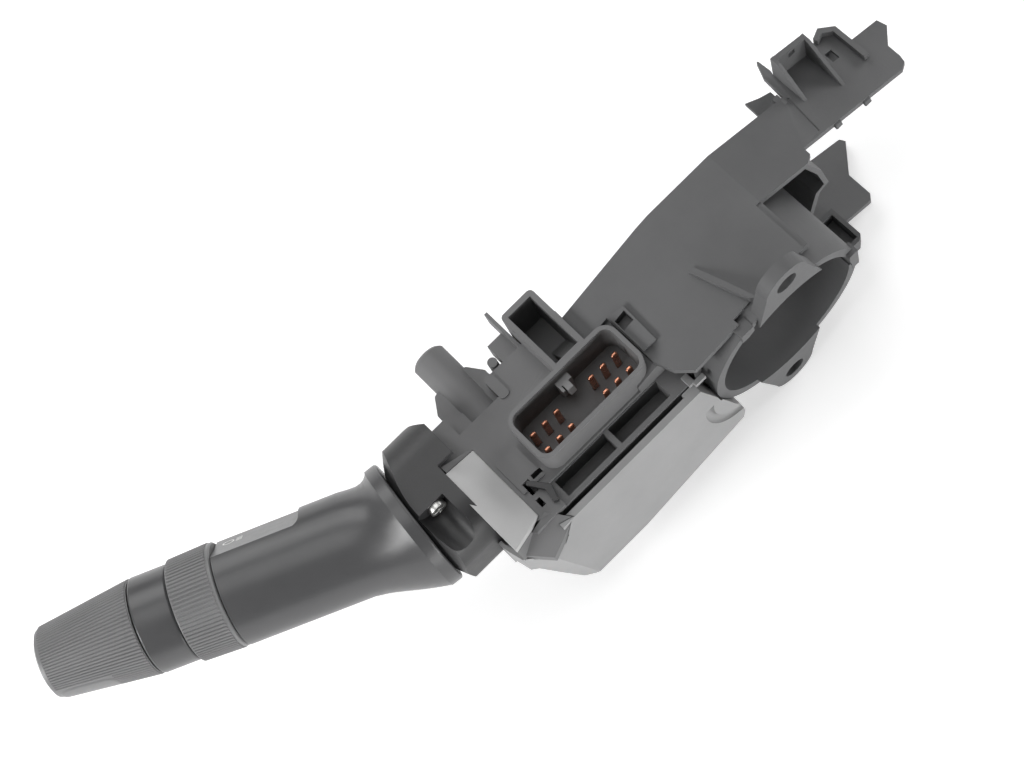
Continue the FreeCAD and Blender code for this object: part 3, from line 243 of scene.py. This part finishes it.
def add_marks(material, paint):
    """Paints a ring and a row of short bars on the stalk's flat, beside the fog ring."""
    tree = material.node_tree
    nodes, links = tree.nodes, tree.links
    shader = [n for n in nodes if n.bl_idname == "ShaderNodeBsdfPrincipled"][0]
    place = [n for n in nodes if n.bl_idname == "ShaderNodeTexCoord"][0]
    up = Vector((0.0, 0.0, 1.0))
    normal = DRIVER_SIDE * math.cos(LABEL_TURN) + up * math.sin(LABEL_TURN)
    across = up * math.cos(LABEL_TURN) - DRIVER_SIDE * math.sin(LABEL_TURN)

    def measured(direction):
        """How far a point lies from the mouth of the bell along a direction, in mm."""
        dot = nodes.new("ShaderNodeVectorMath")
        dot.operation = "DOT_PRODUCT"
        dot.inputs[1].default_value = direction / MM
        links.new(place.outputs["Object"], dot.inputs[0])
        return maths(tree, "SUBTRACT", dot.outputs["Value"], direction.dot(STALK_MOUTH) / MM)

    along = maths(tree, "SUBTRACT", measured(STALK_AXIS), MARK_PLACE[0])
    side = maths(tree, "SUBTRACT", measured(across), MARK_PLACE[1])
    far = maths(tree, "SQRT", maths(tree, "ADD", maths(tree, "MULTIPLY", along, along),
                                    maths(tree, "MULTIPLY", side, side)))
    ring = maths(tree, "COMPARE", far, *MARK_RING)
    middle = MARK_BAR_STEP / 2
    wave = maths(tree, "PINGPONG", maths(tree, "ADD", side, middle), MARK_BAR_STEP)
    bars = maths(tree, "COMPARE", wave, middle, 0.18)
    row = maths(tree, "MULTIPLY", maths(tree, "COMPARE", along, MARK_BARS_AT, MARK_BAR_HALF),
                maths(tree, "COMPARE", side, 0.0, MARK_ROW_HALF))
    drawn = maths(tree, "MAXIMUM", ring, maths(tree, "MULTIPLY", bars, row))
    on_flat = maths(tree, "COMPARE", measured(normal), LABEL_FLAT, 0.08)
    mask = maths(tree, "MULTIPLY", drawn, on_flat)
    mix = nodes.new("ShaderNodeMix")
    mix.data_type = "RGBA"
    colours = [c for c in mix.inputs if c.type == "RGBA"]
    links.new(shader.inputs["Base Color"].links[0].from_socket, colours[0])
    colours[1].default_value = (*paint, 1.0)
    links.new(mask, mix.inputs["Factor"])
    links.new([c for c in mix.outputs if c.type == "RGBA"][0], shader.inputs["Base Color"])


def plated_metal(name, colour, rough):
    """Bright metal with soft drawing marks and slightly duller patches."""
    material, nodes, links, shader, place = shader_nodes(name)
    patches = noise(nodes, links, place, 420.0, 4.0, 0.6)
    links.new(tint(nodes, links, patches, colour, 0.82, 1.12), shader.inputs["Base Color"])
    links.new(span(nodes, links, patches, 0.3, 0.7, rough - 0.06, rough + 0.12),
              shader.inputs["Roughness"])
    marks = noise(nodes, links, place, 5200.0, 2.0, 0.5)
    bump = nodes.new("ShaderNodeBump")
    bump.inputs["Strength"].default_value = 0.25
    bump.inputs["Distance"].default_value = 0.00001
    links.new(marks, bump.inputs["Height"])
    links.new(bump.outputs["Normal"], shader.inputs["Normal"])
    shader.inputs["Metallic"].default_value = 1.0
    return material


def laminate(name, colour):
    """Brown paper laminate with a cloudy body and faint fibre lines."""
    material, nodes, links, shader, place = shader_nodes(name)
    fibres = nodes.new("ShaderNodeTexWave")
    fibres.inputs["Scale"].default_value = 900.0
    fibres.inputs["Distortion"].default_value = 4.0
    links.new(place.outputs["Object"], fibres.inputs["Vector"])
    links.new(tint(nodes, links, fibres.outputs["Fac"], colour, 0.85, 1.2),
              shader.inputs["Base Color"])
    clouds = noise(nodes, links, place, 140.0)
    links.new(span(nodes, links, clouds, 0.3, 0.7, 0.38, 0.55), shader.inputs["Roughness"])
    return material


def finish(name):
    """The material of one finish, made the first time it is asked for."""
    made = bpy.data.materials.get(name)
    if made:
        return made
    c = bpy.context.scene.switch_colours
    plastics = {
        "bracket plastic": (c.bracket, 0.6, 1500.0, 0.00006, 0.35),
        "housing plastic": (c.housing, 0.6, 1900.0, 0.00004, 0.4),
        # The cover colour here holds painted light.
        "cover plastic with painted light": (c.cover, 0.5, 2200.0, 0.00003),
        # The cap colour here holds painted light.
        "cap plastic with painted light": (c.cap, 0.5, 2200.0, 0.00003),
        # The nose colour here holds painted shade as well as the nose's own dark plastic.
        "nose plastic with painted shade": (c.nose, 0.46),
        "stalk plastic": (c.stalk, 0.32, 2600.0, 0.00002),
        "grip plastic": (c.grip, 0.42, 2600.0, 0.00002),
        "neck plastic": (NECK_COLOUR, 0.4),
        "white plastic": (c.white, 0.35, 2400.0, 0.00002)}
    metals = {
        "contact copper": (c.copper, 0.28),
        "bright zinc": (c.zinc, 0.34),
        "pin steel": (c.steel, 0.32)}
    if name in metals:
        return plated_metal(name, *metals[name])
    if name == "board laminate":
        return laminate(name, c.board)
    made = grained_plastic(name, *plastics[name])
    if name == "stalk plastic":
        add_marks(made, c.mark)
    return made


# Meshes

def plain_mesh(obj):
    """Turns an object's modifiers into its mesh."""
    graph = bpy.context.evaluated_depsgraph_get()
    result = bpy.data.meshes.new_from_object(obj.evaluated_get(graph))
    old = obj.data
    obj.modifiers.clear()
    obj.data = result
    bpy.data.meshes.remove(old)
    return obj


def new_object(name, mesh):
    obj = bpy.data.objects.new(name, mesh)
    bpy.context.scene.collection.objects.link(obj)
    return obj


def settle(obj, material, body, slot, *nodes):
    """Gives a finished piece its material and its body, and hides the CAD nodes it stands for."""
    obj.data.materials.clear()
    obj.data.materials.append(finish(material))
    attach(obj, body)
    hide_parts(*nodes)
    return obj


def shade(mesh, angle):
    for face in mesh.polygons:
        face.use_smooth = True
    mesh.set_sharp_from_angle(angle=angle)


def cut_groove(obj):
    """Cuts the thin groove into the top of the bracket's upper arm."""
    start, end = [Vector(point) * MM for point in ARM_GROOVE]
    along = (end - start).normalized()
    across = along.cross(Vector((0.0, 0.0, 1.0))).normalized()
    up = across.cross(along)
    form = bmesh.new()
    bmesh.ops.create_cube(form, size=1.0)
    size = Matrix.Diagonal(((end - start).length, GROOVE_WIDTH * MM, 2 * GROOVE_DEPTH * MM, 1.0))
    turn = Matrix((along, across, up)).transposed().to_4x4()
    form.transform(Matrix.Translation((start + end) / 2) @ turn @ size)
    bmesh.ops.recalc_face_normals(form, faces=form.faces)
    mesh = bpy.data.meshes.new("groove")
    form.to_mesh(mesh)
    form.free()
    tool = new_object("groove", mesh)
    cut = obj.modifiers.new("Groove", "BOOLEAN")
    cut.operation = "DIFFERENCE"
    cut.solver = "EXACT"
    cut.object = tool
    plain_mesh(obj)
    bpy.data.objects.remove(tool)
    bpy.data.meshes.remove(mesh)
    shade(obj.data, SHARP_ANGLE)


def moulded_copy(node, name, rounding):
    """A copy of a CAD piece with its flat faces joined and its edges rounded."""
    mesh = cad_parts[node].data.copy()
    mesh.name = name
    form = bmesh.new()
    form.from_mesh(mesh)
    bmesh.ops.remove_doubles(form, verts=form.verts, dist=2e-6)
    bmesh.ops.dissolve_degenerate(form, edges=form.edges, dist=1e-6)
    bmesh.ops.dissolve_limit(form, angle_limit=math.radians(0.8), use_dissolve_boundaries=False,
                             verts=form.verts, edges=form.edges)
    form.to_mesh(mesh)
    form.free()
    obj = new_object(name, mesh)
    if rounding > 0:
        bevel = obj.modifiers.new("Edges", "BEVEL")
        bevel.width = rounding
        bevel.segments = 2
        bevel.limit_method = "ANGLE"
        bevel.angle_limit = math.radians(14)
        bevel.use_clamp_overlap = True
    plain_mesh(obj)
    shade(obj.data, SHARP_ANGLE)
    even = obj.modifiers.new("Even shading", "WEIGHTED_NORMAL")
    even.keep_sharp = True
    return plain_mesh(obj)


# Geometry node trees

def new_tree(name, sockets):
    tree = bpy.data.node_groups.new(name, "GeometryNodeTree")
    tree.interface.new_socket(name="Geometry", in_out="INPUT", socket_type="NodeSocketGeometry")
    tree.interface.new_socket(name="Geometry", in_out="OUTPUT", socket_type="NodeSocketGeometry")
    for label, kind in sockets:
        tree.interface.new_socket(name=label, in_out="INPUT", socket_type=kind)
    start = tree.nodes.new("NodeGroupInput")
    end = tree.nodes.new("NodeGroupOutput")
    return tree, start, end


def apply_tree(obj, tree, values):
    modifier = obj.modifiers.new(tree.name, "NODES")
    modifier.node_group = tree
    for item in tree.interface.items_tree:
        if item.item_type == "SOCKET" and item.in_out == "INPUT" and item.name in values:
            modifier[item.identifier] = values[item.name]
    return plain_mesh(obj)


def maths(tree, operation, *values):
    node = tree.nodes.new("ShaderNodeMath")
    node.operation = operation
    for i, value in enumerate(values):
        if isinstance(value, (int, float)):
            node.inputs[i].default_value = value
        else:
            tree.links.new(value, node.inputs[i])
    return node.outputs[0]


def vector_of(tree, x, y, z):
    node = tree.nodes.new("ShaderNodeCombineXYZ")
    for i, value in enumerate((x, y, z)):
        if isinstance(value, (int, float)):
            node.inputs[i].default_value = value
        else:
            tree.links.new(value, node.inputs[i])
    return node.outputs[0]


def finish_tree(tree, end, geometry):
    """Realize Instances and Set Material, the last two steps of every tree."""
    real = tree.nodes.new("GeometryNodeRealizeInstances")
    tree.links.new(geometry, real.inputs["Geometry"])
    paint = tree.nodes.new("GeometryNodeSetMaterial")
    tree.links.new(real.outputs["Geometry"], paint.inputs["Geometry"])
    start = [n for n in tree.nodes if n.bl_idname == "NodeGroupInput"][0]
    tree.links.new(start.outputs["Material"], paint.inputs["Material"])
    tree.links.new(paint.outputs["Geometry"], end.inputs["Geometry"])
    return tree


def grip_ribs_tree():
    """Ribs lying along a cone, left out over a plain sector, joined to the body they stand on."""
    tree, start, end = new_tree("Grip Ribs", [
        ("Count", "NodeSocketInt"), ("Rib Radius", "NodeSocketFloat"),
        ("Start Radius", "NodeSocketFloat"), ("End Radius", "NodeSocketFloat"),
        ("Start Height", "NodeSocketFloat"), ("End Height", "NodeSocketFloat"),
        ("Plain Direction", "NodeSocketFloat"), ("Plain Half Angle", "NodeSocketFloat"),
        ("Material", "NodeSocketMaterial")])
    link = tree.links.new
    line = tree.nodes.new("GeometryNodeCurvePrimitiveLine")
    link(vector_of(tree, start.outputs["Start Radius"], 0.0, start.outputs["Start Height"]),
         line.inputs["Start"])
    link(vector_of(tree, start.outputs["End Radius"], 0.0, start.outputs["End Height"]),
         line.inputs["End"])
    round_end = tree.nodes.new("GeometryNodeCurvePrimitiveCircle")
    round_end.inputs["Resolution"].default_value = 12
    link(start.outputs["Rib Radius"], round_end.inputs["Radius"])
    rib = tree.nodes.new("GeometryNodeCurveToMesh")
    rib.inputs["Fill Caps"].default_value = True
    link(line.outputs["Curve"], rib.inputs["Curve"])
    link(round_end.outputs["Curve"], rib.inputs["Profile Curve"])
    spots = tree.nodes.new("GeometryNodePoints")
    link(start.outputs["Count"], spots.inputs["Count"])
    index = tree.nodes.new("GeometryNodeInputIndex")
    turn = maths(tree, "DIVIDE", maths(tree, "MULTIPLY", index.outputs[0], math.tau),
                 start.outputs["Count"])
    away = maths(tree, "SUBTRACT", turn, start.outputs["Plain Direction"])
    wrapped = maths(tree, "WRAP", away, math.pi, -math.pi)
    keep = tree.nodes.new("FunctionNodeCompare")
    keep.operation = "GREATER_THAN"
    link(maths(tree, "ABSOLUTE", wrapped), keep.inputs[0])
    link(start.outputs["Plain Half Angle"], keep.inputs[1])
    place = tree.nodes.new("GeometryNodeInstanceOnPoints")
    link(spots.outputs["Points"], place.inputs["Points"])
    link(rib.outputs["Mesh"], place.inputs["Instance"])
    link(keep.outputs["Result"], place.inputs["Selection"])
    link(vector_of(tree, 0.0, 0.0, turn), place.inputs["Rotation"])
    both = tree.nodes.new("GeometryNodeJoinGeometry")
    link(place.outputs["Instances"], both.inputs["Geometry"])
    link(start.outputs["Geometry"], both.inputs["Geometry"])
    return finish_tree(tree, end, both.outputs["Geometry"])


def pin_rows_tree():
    """Copies the given pin into two rows, each of two groups of three."""
    tree, start, end = new_tree("Pin Rows", [
        ("First", "NodeSocketVector"), ("Pitch", "NodeSocketFloat"),
        ("Row Pitch", "NodeSocketFloat"), ("Group Step", "NodeSocketFloat"),
        ("Material", "NodeSocketMaterial")])
    link = tree.links.new
    spots = tree.nodes.new("GeometryNodePoints")
    spots.inputs["Count"].default_value = 12
    index = tree.nodes.new("GeometryNodeInputIndex")
    column = maths(tree, "MODULO", index.outputs[0], 6.0)
    row = maths(tree, "FLOOR", maths(tree, "DIVIDE", index.outputs[0], 6.0))
    group = maths(tree, "GREATER_THAN", column, 2.5)
    along = maths(tree, "ADD", maths(tree, "MULTIPLY", column, start.outputs["Pitch"]),
                  maths(tree, "MULTIPLY", group, start.outputs["Group Step"]))
    across = maths(tree, "MULTIPLY", row, start.outputs["Row Pitch"])
    spot = tree.nodes.new("ShaderNodeVectorMath")
    spot.operation = "ADD"
    link(start.outputs["First"], spot.inputs[0])
    link(vector_of(tree, along, maths(tree, "MULTIPLY", across, -1.0), 0.0), spot.inputs[1])
    link(spot.outputs[0], spots.inputs["Position"])
    place = tree.nodes.new("GeometryNodeInstanceOnPoints")
    link(spots.outputs["Points"], place.inputs["Points"])
    link(start.outputs["Geometry"], place.inputs["Instance"])
    return finish_tree(tree, end, place.outputs["Instances"])


# Pieces

def lathe(name, profile, steps=96):
    """A closed solid turned round the local Z axis. The profile is a loop of radius and height."""
    form = bmesh.new()
    rings = []
    for r, h in profile:
        rings.append([form.verts.new((r * math.cos(math.tau * i / steps),
                                      r * math.sin(math.tau * i / steps), h))
                      for i in range(steps)])
    for a, b in zip(rings, rings[1:] + rings[:1]):
        for i in range(steps):
            j = (i + 1) % steps
            form.faces.new((a[i], a[j], b[j], b[i]))
    bmesh.ops.recalc_face_normals(form, faces=form.faces)
    mesh = bpy.data.meshes.new(name)
    form.to_mesh(mesh)
    form.free()
    return mesh


def stalk_place():
    """Places a piece turned round local Z on the stalk: Z along the axis, X to the driver."""
    up = STALK_AXIS.cross(DRIVER_SIDE)
    turn = Matrix((DRIVER_SIDE, up, STALK_AXIS)).transposed().to_4x4()
    return Matrix.Translation(STALK_MOUTH) @ turn


class SWITCH_OT_moulded_pieces(bpy.types.Operator):
    """Rounds the edges of the moulded pieces and gives them their plastics"""
    bl_idname = "switch.moulded_pieces"
    bl_label = "Moulded pieces"

    def execute(self, context):
        rounding = context.scene.switch_sizes.edge_round
        pieces = [
            ("column_bracket", "bracket plastic", "switch_body", "bracket_plastic", 1.0),
            ("switch_housing", "housing plastic", "switch_body", "housing_plastic", 1.0),
            # The case cover's lighter plastic is painted light on its front faces.
            ("case_cover", "cover plastic with painted light", "switch_body", "cover_plastic", 1.3),
            # The cap's pale plastic is painted light on its sloping top.
            ("block_cap", "cap plastic with painted light", "switch_body", "cover_plastic", 1.0),
            # The nose shells' plastic holds painted shade in the scoop.
            ("nose_upper_shell", "nose plastic with painted shade", "switch_body", "nose_plastic", 1.0),
            ("nose_lower_shell", "nose plastic with painted shade", "switch_body", "nose_plastic", 1.0),
            # The connector key wears the lighter cover plastic as painted light on its tongue.
            ("connector_key", "cover plastic with painted light", "switch_body", "cover_plastic", 0.5),
            ("latch_clip", "nose plastic with painted shade", "switch_body", "housing_plastic", 0.5),
            ("end_clip", "cover plastic with painted light", "switch_body", "cover_plastic", 0.5),
            ("stalk_lever", "stalk plastic", "stalk", "stalk_plastic", 1.0),
            ("index_ring", "stalk plastic", "stalk", "stalk_plastic", 1.0),
            ("stalk_neck", "neck plastic", "stalk", "neck_plastic", 0.7)]
        for node, material, body, slot, share in pieces:
            piece = moulded_copy(node, node + "_moulding", rounding * share)
            if node == "column_bracket":
                cut_groove(piece)
            settle(piece, material, body, slot, node)
        return {"FINISHED"}


class SWITCH_OT_grips(bpy.types.Operator):
    """Makes the ribbed fog ring and the ribbed end knob"""
    bl_idname = "switch.grips"
    bl_label = "Ribbed grips"

    def execute(self, context):
        sizes = context.scene.switch_sizes
        tree = grip_ribs_tree()
        depth = sizes.rib_depth / MM
        low, high = FOG_RING_SPAN
        wide, slim = FOG_RING_RADII
        ring = [(SPIGOT_RADIUS, low), (14.1, low), (14.55, low + 0.4), (14.55, low + 1.2),
                (wide - depth, low + 1.5), (slim - depth, high - 0.4), (13.9, high),
                (SPIGOT_RADIUS, high)]
        self.grip("fog_ring_grip", ring, tree, sizes,
                  [(wide, slim, low + 1.3, high - 0.3, 0.0, RIBS_ALL_ROUND)],
                  "fog_ring", "fog_ring")
        low, high = KNOB_SPAN
        knob = [(2.5, low + 0.6), (5.0, low + 0.6), (5.0, low + 11.0), (9.0, low + 11.0),
                (9.0, low), (13.0, low), (KNOB_RADIUS - depth, low + 0.5),
                (KNOB_TIP_RADIUS - depth, high - 2.0), (9.6, high - 1.0), (8.2, high - 0.25),
                (6.8, high), (0.001, high), (0.001, low + 19.0), (2.5, low + 19.0)]
        near, far = low + 0.3, high - 2.0
        start = far - PAD_SHARE * (far - near)
        taper = (KNOB_RIB_TIP_RADIUS - KNOB_RADIUS) / (far - near)
        at_start = KNOB_RADIUS + taper * (start - near)
        beside_pad = (KNOB_RADIUS, KNOB_RIB_TIP_RADIUS, near, far, PAD_DIRECTION, PAD_HALF_ANGLE)
        before_pad = (KNOB_RADIUS, at_start, near, start, PAD_DIRECTION - math.pi,
                      math.pi - PAD_HALF_ANGLE)
        piece = self.grip("end_knob_grip", knob, tree, sizes, [beside_pad, before_pad],
                          "knob", "end_knob")
        self.add_pad(piece, (start - 0.6, far), (at_start + 0.1, KNOB_RIB_TIP_RADIUS), depth)
        return {"FINISHED"}

    def grip(self, name, profile, tree, sizes, ribs, body, node):
        """A turned body with one or more sets of ribs, each left out over its own plain sector."""
        mesh = lathe(name, [(r * MM, h * MM) for r, h in profile])
        obj = new_object(name, mesh)
        radius = sizes.rib_radius
        for r0, r1, h0, h1, plain, half in ribs:
            apply_tree(obj, tree, {
                "Count": sizes.rib_count, "Rib Radius": radius,
                "Start Radius": r0 * MM - radius, "End Radius": r1 * MM - radius,
                "Start Height": h0 * MM, "End Height": h1 * MM, "Plain Direction": plain,
                "Plain Half Angle": half, "Material": finish("grip plastic")})
        obj.data.transform(stalk_place())
        shade(obj.data, math.radians(40))
        return settle(obj, "grip plastic", body, "knob_plastic", node)

    def add_pad(self, piece, heights, radii, depth):
        """Joins a smooth raised pad with a rounded outline to the knob, over its plain sector."""
        across, along = PAD_STEPS
        half = PAD_HALF_ANGLE * 0.94
        form = bmesh.new()
        form.from_mesh(piece.data)
        place = stalk_place()

        def at(i, j, sunk):
            u, v, t = 2 * i / across - 1, 2 * j / along - 1, j / along
            edge = 1 - (abs(u) ** 4 + abs(v) ** 6) ** 0.25
            lift = math.sin(min(1.0, max(0.0, edge / 0.12)) * math.pi / 2)
            radius = (radii[0] + (radii[1] - radii[0]) * t - depth - 0.15
                      + (depth + 0.1) * lift - sunk)
            angle = PAD_DIRECTION + half * u
            height = heights[0] + (heights[1] - heights[0]) * t
            point = Vector((radius * math.cos(angle), radius * math.sin(angle), height)) * MM
            return form.verts.new(place @ point)

        outer, inner = [[[at(i, j, sunk) for j in range(along + 1)] for i in range(across + 1)]
                        for sunk in (0.0, 0.8)]
        corners = [(a[i][j], a[i + 1][j], a[i + 1][j + 1], a[i][j + 1])
                   for a in (outer, inner) for i in range(across) for j in range(along)]
        corners += [(outer[i][j], inner[i][j], inner[i + 1][j], outer[i + 1][j])
                    for i in range(across) for j in (0, along)]
        corners += [(outer[i][j], inner[i][j], inner[i][j + 1], outer[i][j + 1])
                    for i in (0, across) for j in range(along)]
        faces = [form.faces.new(four) for four in corners]
        bmesh.ops.recalc_face_normals(form, faces=faces)
        for face in faces:
            face.smooth = True
        form.to_mesh(piece.data)
        form.free()


class SWITCH_OT_contacts(bpy.types.Operator):
    """Makes the rows of copper contact pins"""
    bl_idname = "switch.contacts"
    bl_label = "Contact pins"

    def execute(self, context):
        sizes = context.scene.switch_sizes
        low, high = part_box("connector_pins")
        form = bmesh.new()
        bmesh.ops.create_cube(form, size=1.0)
        for vert in form.verts:
            vert.co = (vert.co.x * sizes.pin_width, vert.co.y * sizes.pin_thickness,
                       low.z if vert.co.z < 0 else high.z)
        mesh = bpy.data.meshes.new("contact_pin")
        form.to_mesh(mesh)
        form.free()
        obj = new_object("contact_pins", mesh)
        bevel = obj.modifiers.new("Edges", "BEVEL")
        bevel.width = PIN_ROUNDING
        bevel.segments = 4
        bevel.limit_method = "ANGLE"
        plain_mesh(obj)
        apply_tree(obj, pin_rows_tree(), {
            "First": PIN_FIRST, "Pitch": PIN_PITCH, "Row Pitch": PIN_ROW,
            "Group Step": PIN_GROUP_GAP - PIN_PITCH, "Material": finish("contact copper")})
        shade(obj.data, math.radians(50))
        settle(obj, "contact copper", "switch_body", "copper_pins", "connector_pins")
        return {"FINISHED"}


class SWITCH_OT_screws(bpy.types.Operator):
    """Rounds the edges of the screws and gives them their plated metal"""
    bl_idname = "switch.screws"
    bl_label = "Screws"

    def execute(self, context):
        for node in ("nose_screw", "case_screws"):
            piece = moulded_copy(node, node + "_plated", SCREW_ROUNDING)
            settle(piece, "bright zinc", "switch_body", "zinc_steel", node)
        return {"FINISHED"}


class SWITCH_OT_inner_pieces(bpy.types.Operator):
    """Gives the pieces inside the case their own finishes"""
    bl_idname = "switch.inner_pieces"
    bl_label = "Inner pieces"

    def execute(self, context):
        finishes = {
            "white plastic": ("turn_carrier", "turn_contact_slider", "beam_contact_slider",
                              "cancel_pawl", "detent_track", "rotary_contact_hub"),
            "board laminate": ("terminal_board", "turn_contact_board", "beam_contact_board",
                               "rotary_contact_disc"),
            "contact copper": ("contact_strips",),
            "pin steel": ("turn_pivot_pin", "beam_pivot_pin", "cancel_pawl_pin",
                          "detent_plunger", "detent_spring"),
            "neck plastic": ("knob_shaft", "shaft_guide_plug")}
        for material, nodes in finishes.items():
            for node in nodes:
                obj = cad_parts[node]
                if not obj.material_slots:
                    obj.data.materials.append(finish(material))
                for material_slot in obj.material_slots:
                    material_slot.material = finish(material)
        return {"FINISHED"}


# Stage

def area_lamp(name, place, target, size, power):
    lamp = bpy.data.lights.new(name, "AREA")
    lamp.shape = "RECTANGLE"
    lamp.size, lamp.size_y = size
    lamp.energy = power
    obj = new_object(name, lamp)
    obj.location = place
    obj.rotation_euler = (target - place).to_track_quat("-Z", "Y").to_euler()


class SWITCH_OT_stage(bpy.types.Operator):
    """Makes the pale floor, the soft lamps and the camera of the photograph"""
    bl_idname = "switch.stage"
    bl_label = "Stage"

    def execute(self, context):
        low, high = CAD_BOX
        middle = (Vector(low) + Vector(high)) / 2
        self.floor(low[2] - FLOOR_GAP)
        for name, offset, size, power in LAMPS:
            area_lamp(name, middle + Vector(offset), middle, size, power)
        self.world(context.scene)
        context.scene.view_settings.view_transform = "Standard"
        self.camera(context.scene)
        return {"FINISHED"}

    def floor(self, z):
        mesh = bpy.data.meshes.new("floor")
        mesh.from_pydata([(x * FLOOR_HALF, y * FLOOR_HALF, z)
                          for x, y in ((-1, -1), (1, -1), (1, 1), (-1, 1))], [], [(0, 1, 2, 3)])
        floor = new_object("floor", mesh)
        mesh.materials.append(self.floor_paint())

    def world(self, scene):
        """A plain white backdrop for the camera, and a weak even light for everything else."""
        world = bpy.data.worlds.new("studio")
        world.use_nodes = True
        nodes = world.node_tree.nodes
        links = world.node_tree.links
        nodes.clear()
        path = nodes.new("ShaderNodeLightPath")
        mix = nodes.new("ShaderNodeMixShader")
        links.new(path.outputs["Is Camera Ray"], mix.inputs["Fac"])
        for socket, strength in ((1, WORLD_LIGHT), (2, 1.0)):
            light = nodes.new("ShaderNodeBackground")
            light.inputs["Color"].default_value = (1.0, 1.0, 1.0, 1.0)
            light.inputs["Strength"].default_value = strength
            links.new(light.outputs[0], mix.inputs[socket])
        output = nodes.new("ShaderNodeOutputWorld")
        links.new(mix.outputs[0], output.inputs["Surface"])
        scene.world = world

    def camera(self, scene):
        data = bpy.data.cameras.new("photo camera")
        data.sensor_fit = "HORIZONTAL"
        data.sensor_width = 36.0
        data.lens = CAMERA_LENS
        data.clip_start = 0.01
        right = CAMERA_RIGHT.normalized()
        up = CAMERA_BACK.cross(CAMERA_RIGHT).normalized()
        back = right.cross(up).normalized()
        camera = new_object("photo camera", data)
        camera.matrix_world = (Matrix.Translation(CAMERA_PLACE)
                               @ Matrix((right, up, back)).transposed().to_4x4())
        scene.camera = camera

    def floor_paint(self):
        """Pale paper that keeps the shadow near the part and turns plain white further out."""
        material = bpy.data.materials.new("pale floor")
        material.use_nodes = True
        tree = material.node_tree
        nodes, links = tree.nodes, tree.links
        nodes.clear()
        paper = nodes.new("ShaderNodeBsdfDiffuse")
        paper.inputs["Color"].default_value = (0.8, 0.8, 0.8, 1.0)
        path = nodes.new("ShaderNodeLightPath").outputs
        seen = maths(tree, "MAXIMUM", maths(tree, "MAXIMUM", path["Is Camera Ray"],
                                            path["Is Glossy Ray"]), path["Is Transmission Ray"])
        place = nodes.new("ShaderNodeTexCoord")
        away = nodes.new("ShaderNodeVectorMath")
        away.operation = "LENGTH"
        links.new(place.outputs["Object"], away.inputs[0])
        level = span(nodes, links, away.outputs["Value"], 0.3, 1.0, 0.5, 1.0)
        glow = nodes.new("ShaderNodeEmission")
        links.new(maths(tree, "MULTIPLY", seen, level), glow.inputs["Strength"])
        both = nodes.new("ShaderNodeAddShader")
        links.new(paper.outputs[0], both.inputs[0])
        links.new(glow.outputs[0], both.inputs[1])
        output = nodes.new("ShaderNodeOutputMaterial")
        links.new(both.outputs[0], output.inputs["Surface"])
        return material


OPERATORS = (SWITCH_OT_moulded_pieces, SWITCH_OT_grips, SWITCH_OT_contacts,
             SWITCH_OT_screws, SWITCH_OT_inner_pieces, SWITCH_OT_stage)


class SWITCH_PT_panel(bpy.types.Panel):
    """Lists the steps that build the switch"""
    bl_label = "Stalk Switch"
    bl_idname = "SWITCH_PT_panel"
    bl_space_type = "VIEW_3D"
    bl_region_type = "UI"
    bl_category = "Stalk Switch"

    def draw(self, context):
        for group in (context.scene.switch_sizes, context.scene.switch_colours):
            for name in group.__annotations__:
                self.layout.prop(group, name)
        for operator in OPERATORS:
            self.layout.operator(operator.bl_idname)


def register():
    for kind in (SwitchColours, SwitchSizes) + OPERATORS + (SWITCH_PT_panel,):
        bpy.utils.register_class(kind)
    bpy.types.Scene.switch_colours = PointerProperty(type=SwitchColours)
    bpy.types.Scene.switch_sizes = PointerProperty(type=SwitchSizes)


def unregister():
    del bpy.types.Scene.switch_sizes
    del bpy.types.Scene.switch_colours
    for kind in reversed((SwitchColours, SwitchSizes) + OPERATORS + (SWITCH_PT_panel,)):
        bpy.utils.unregister_class(kind)


def main():
    register()
    bpy.ops.switch.moulded_pieces()
    bpy.ops.switch.grips()
    bpy.ops.switch.contacts()
    bpy.ops.switch.screws()
    bpy.ops.switch.inner_pieces()
    bpy.ops.switch.stage()


if __name__ == "__main__":
    main()
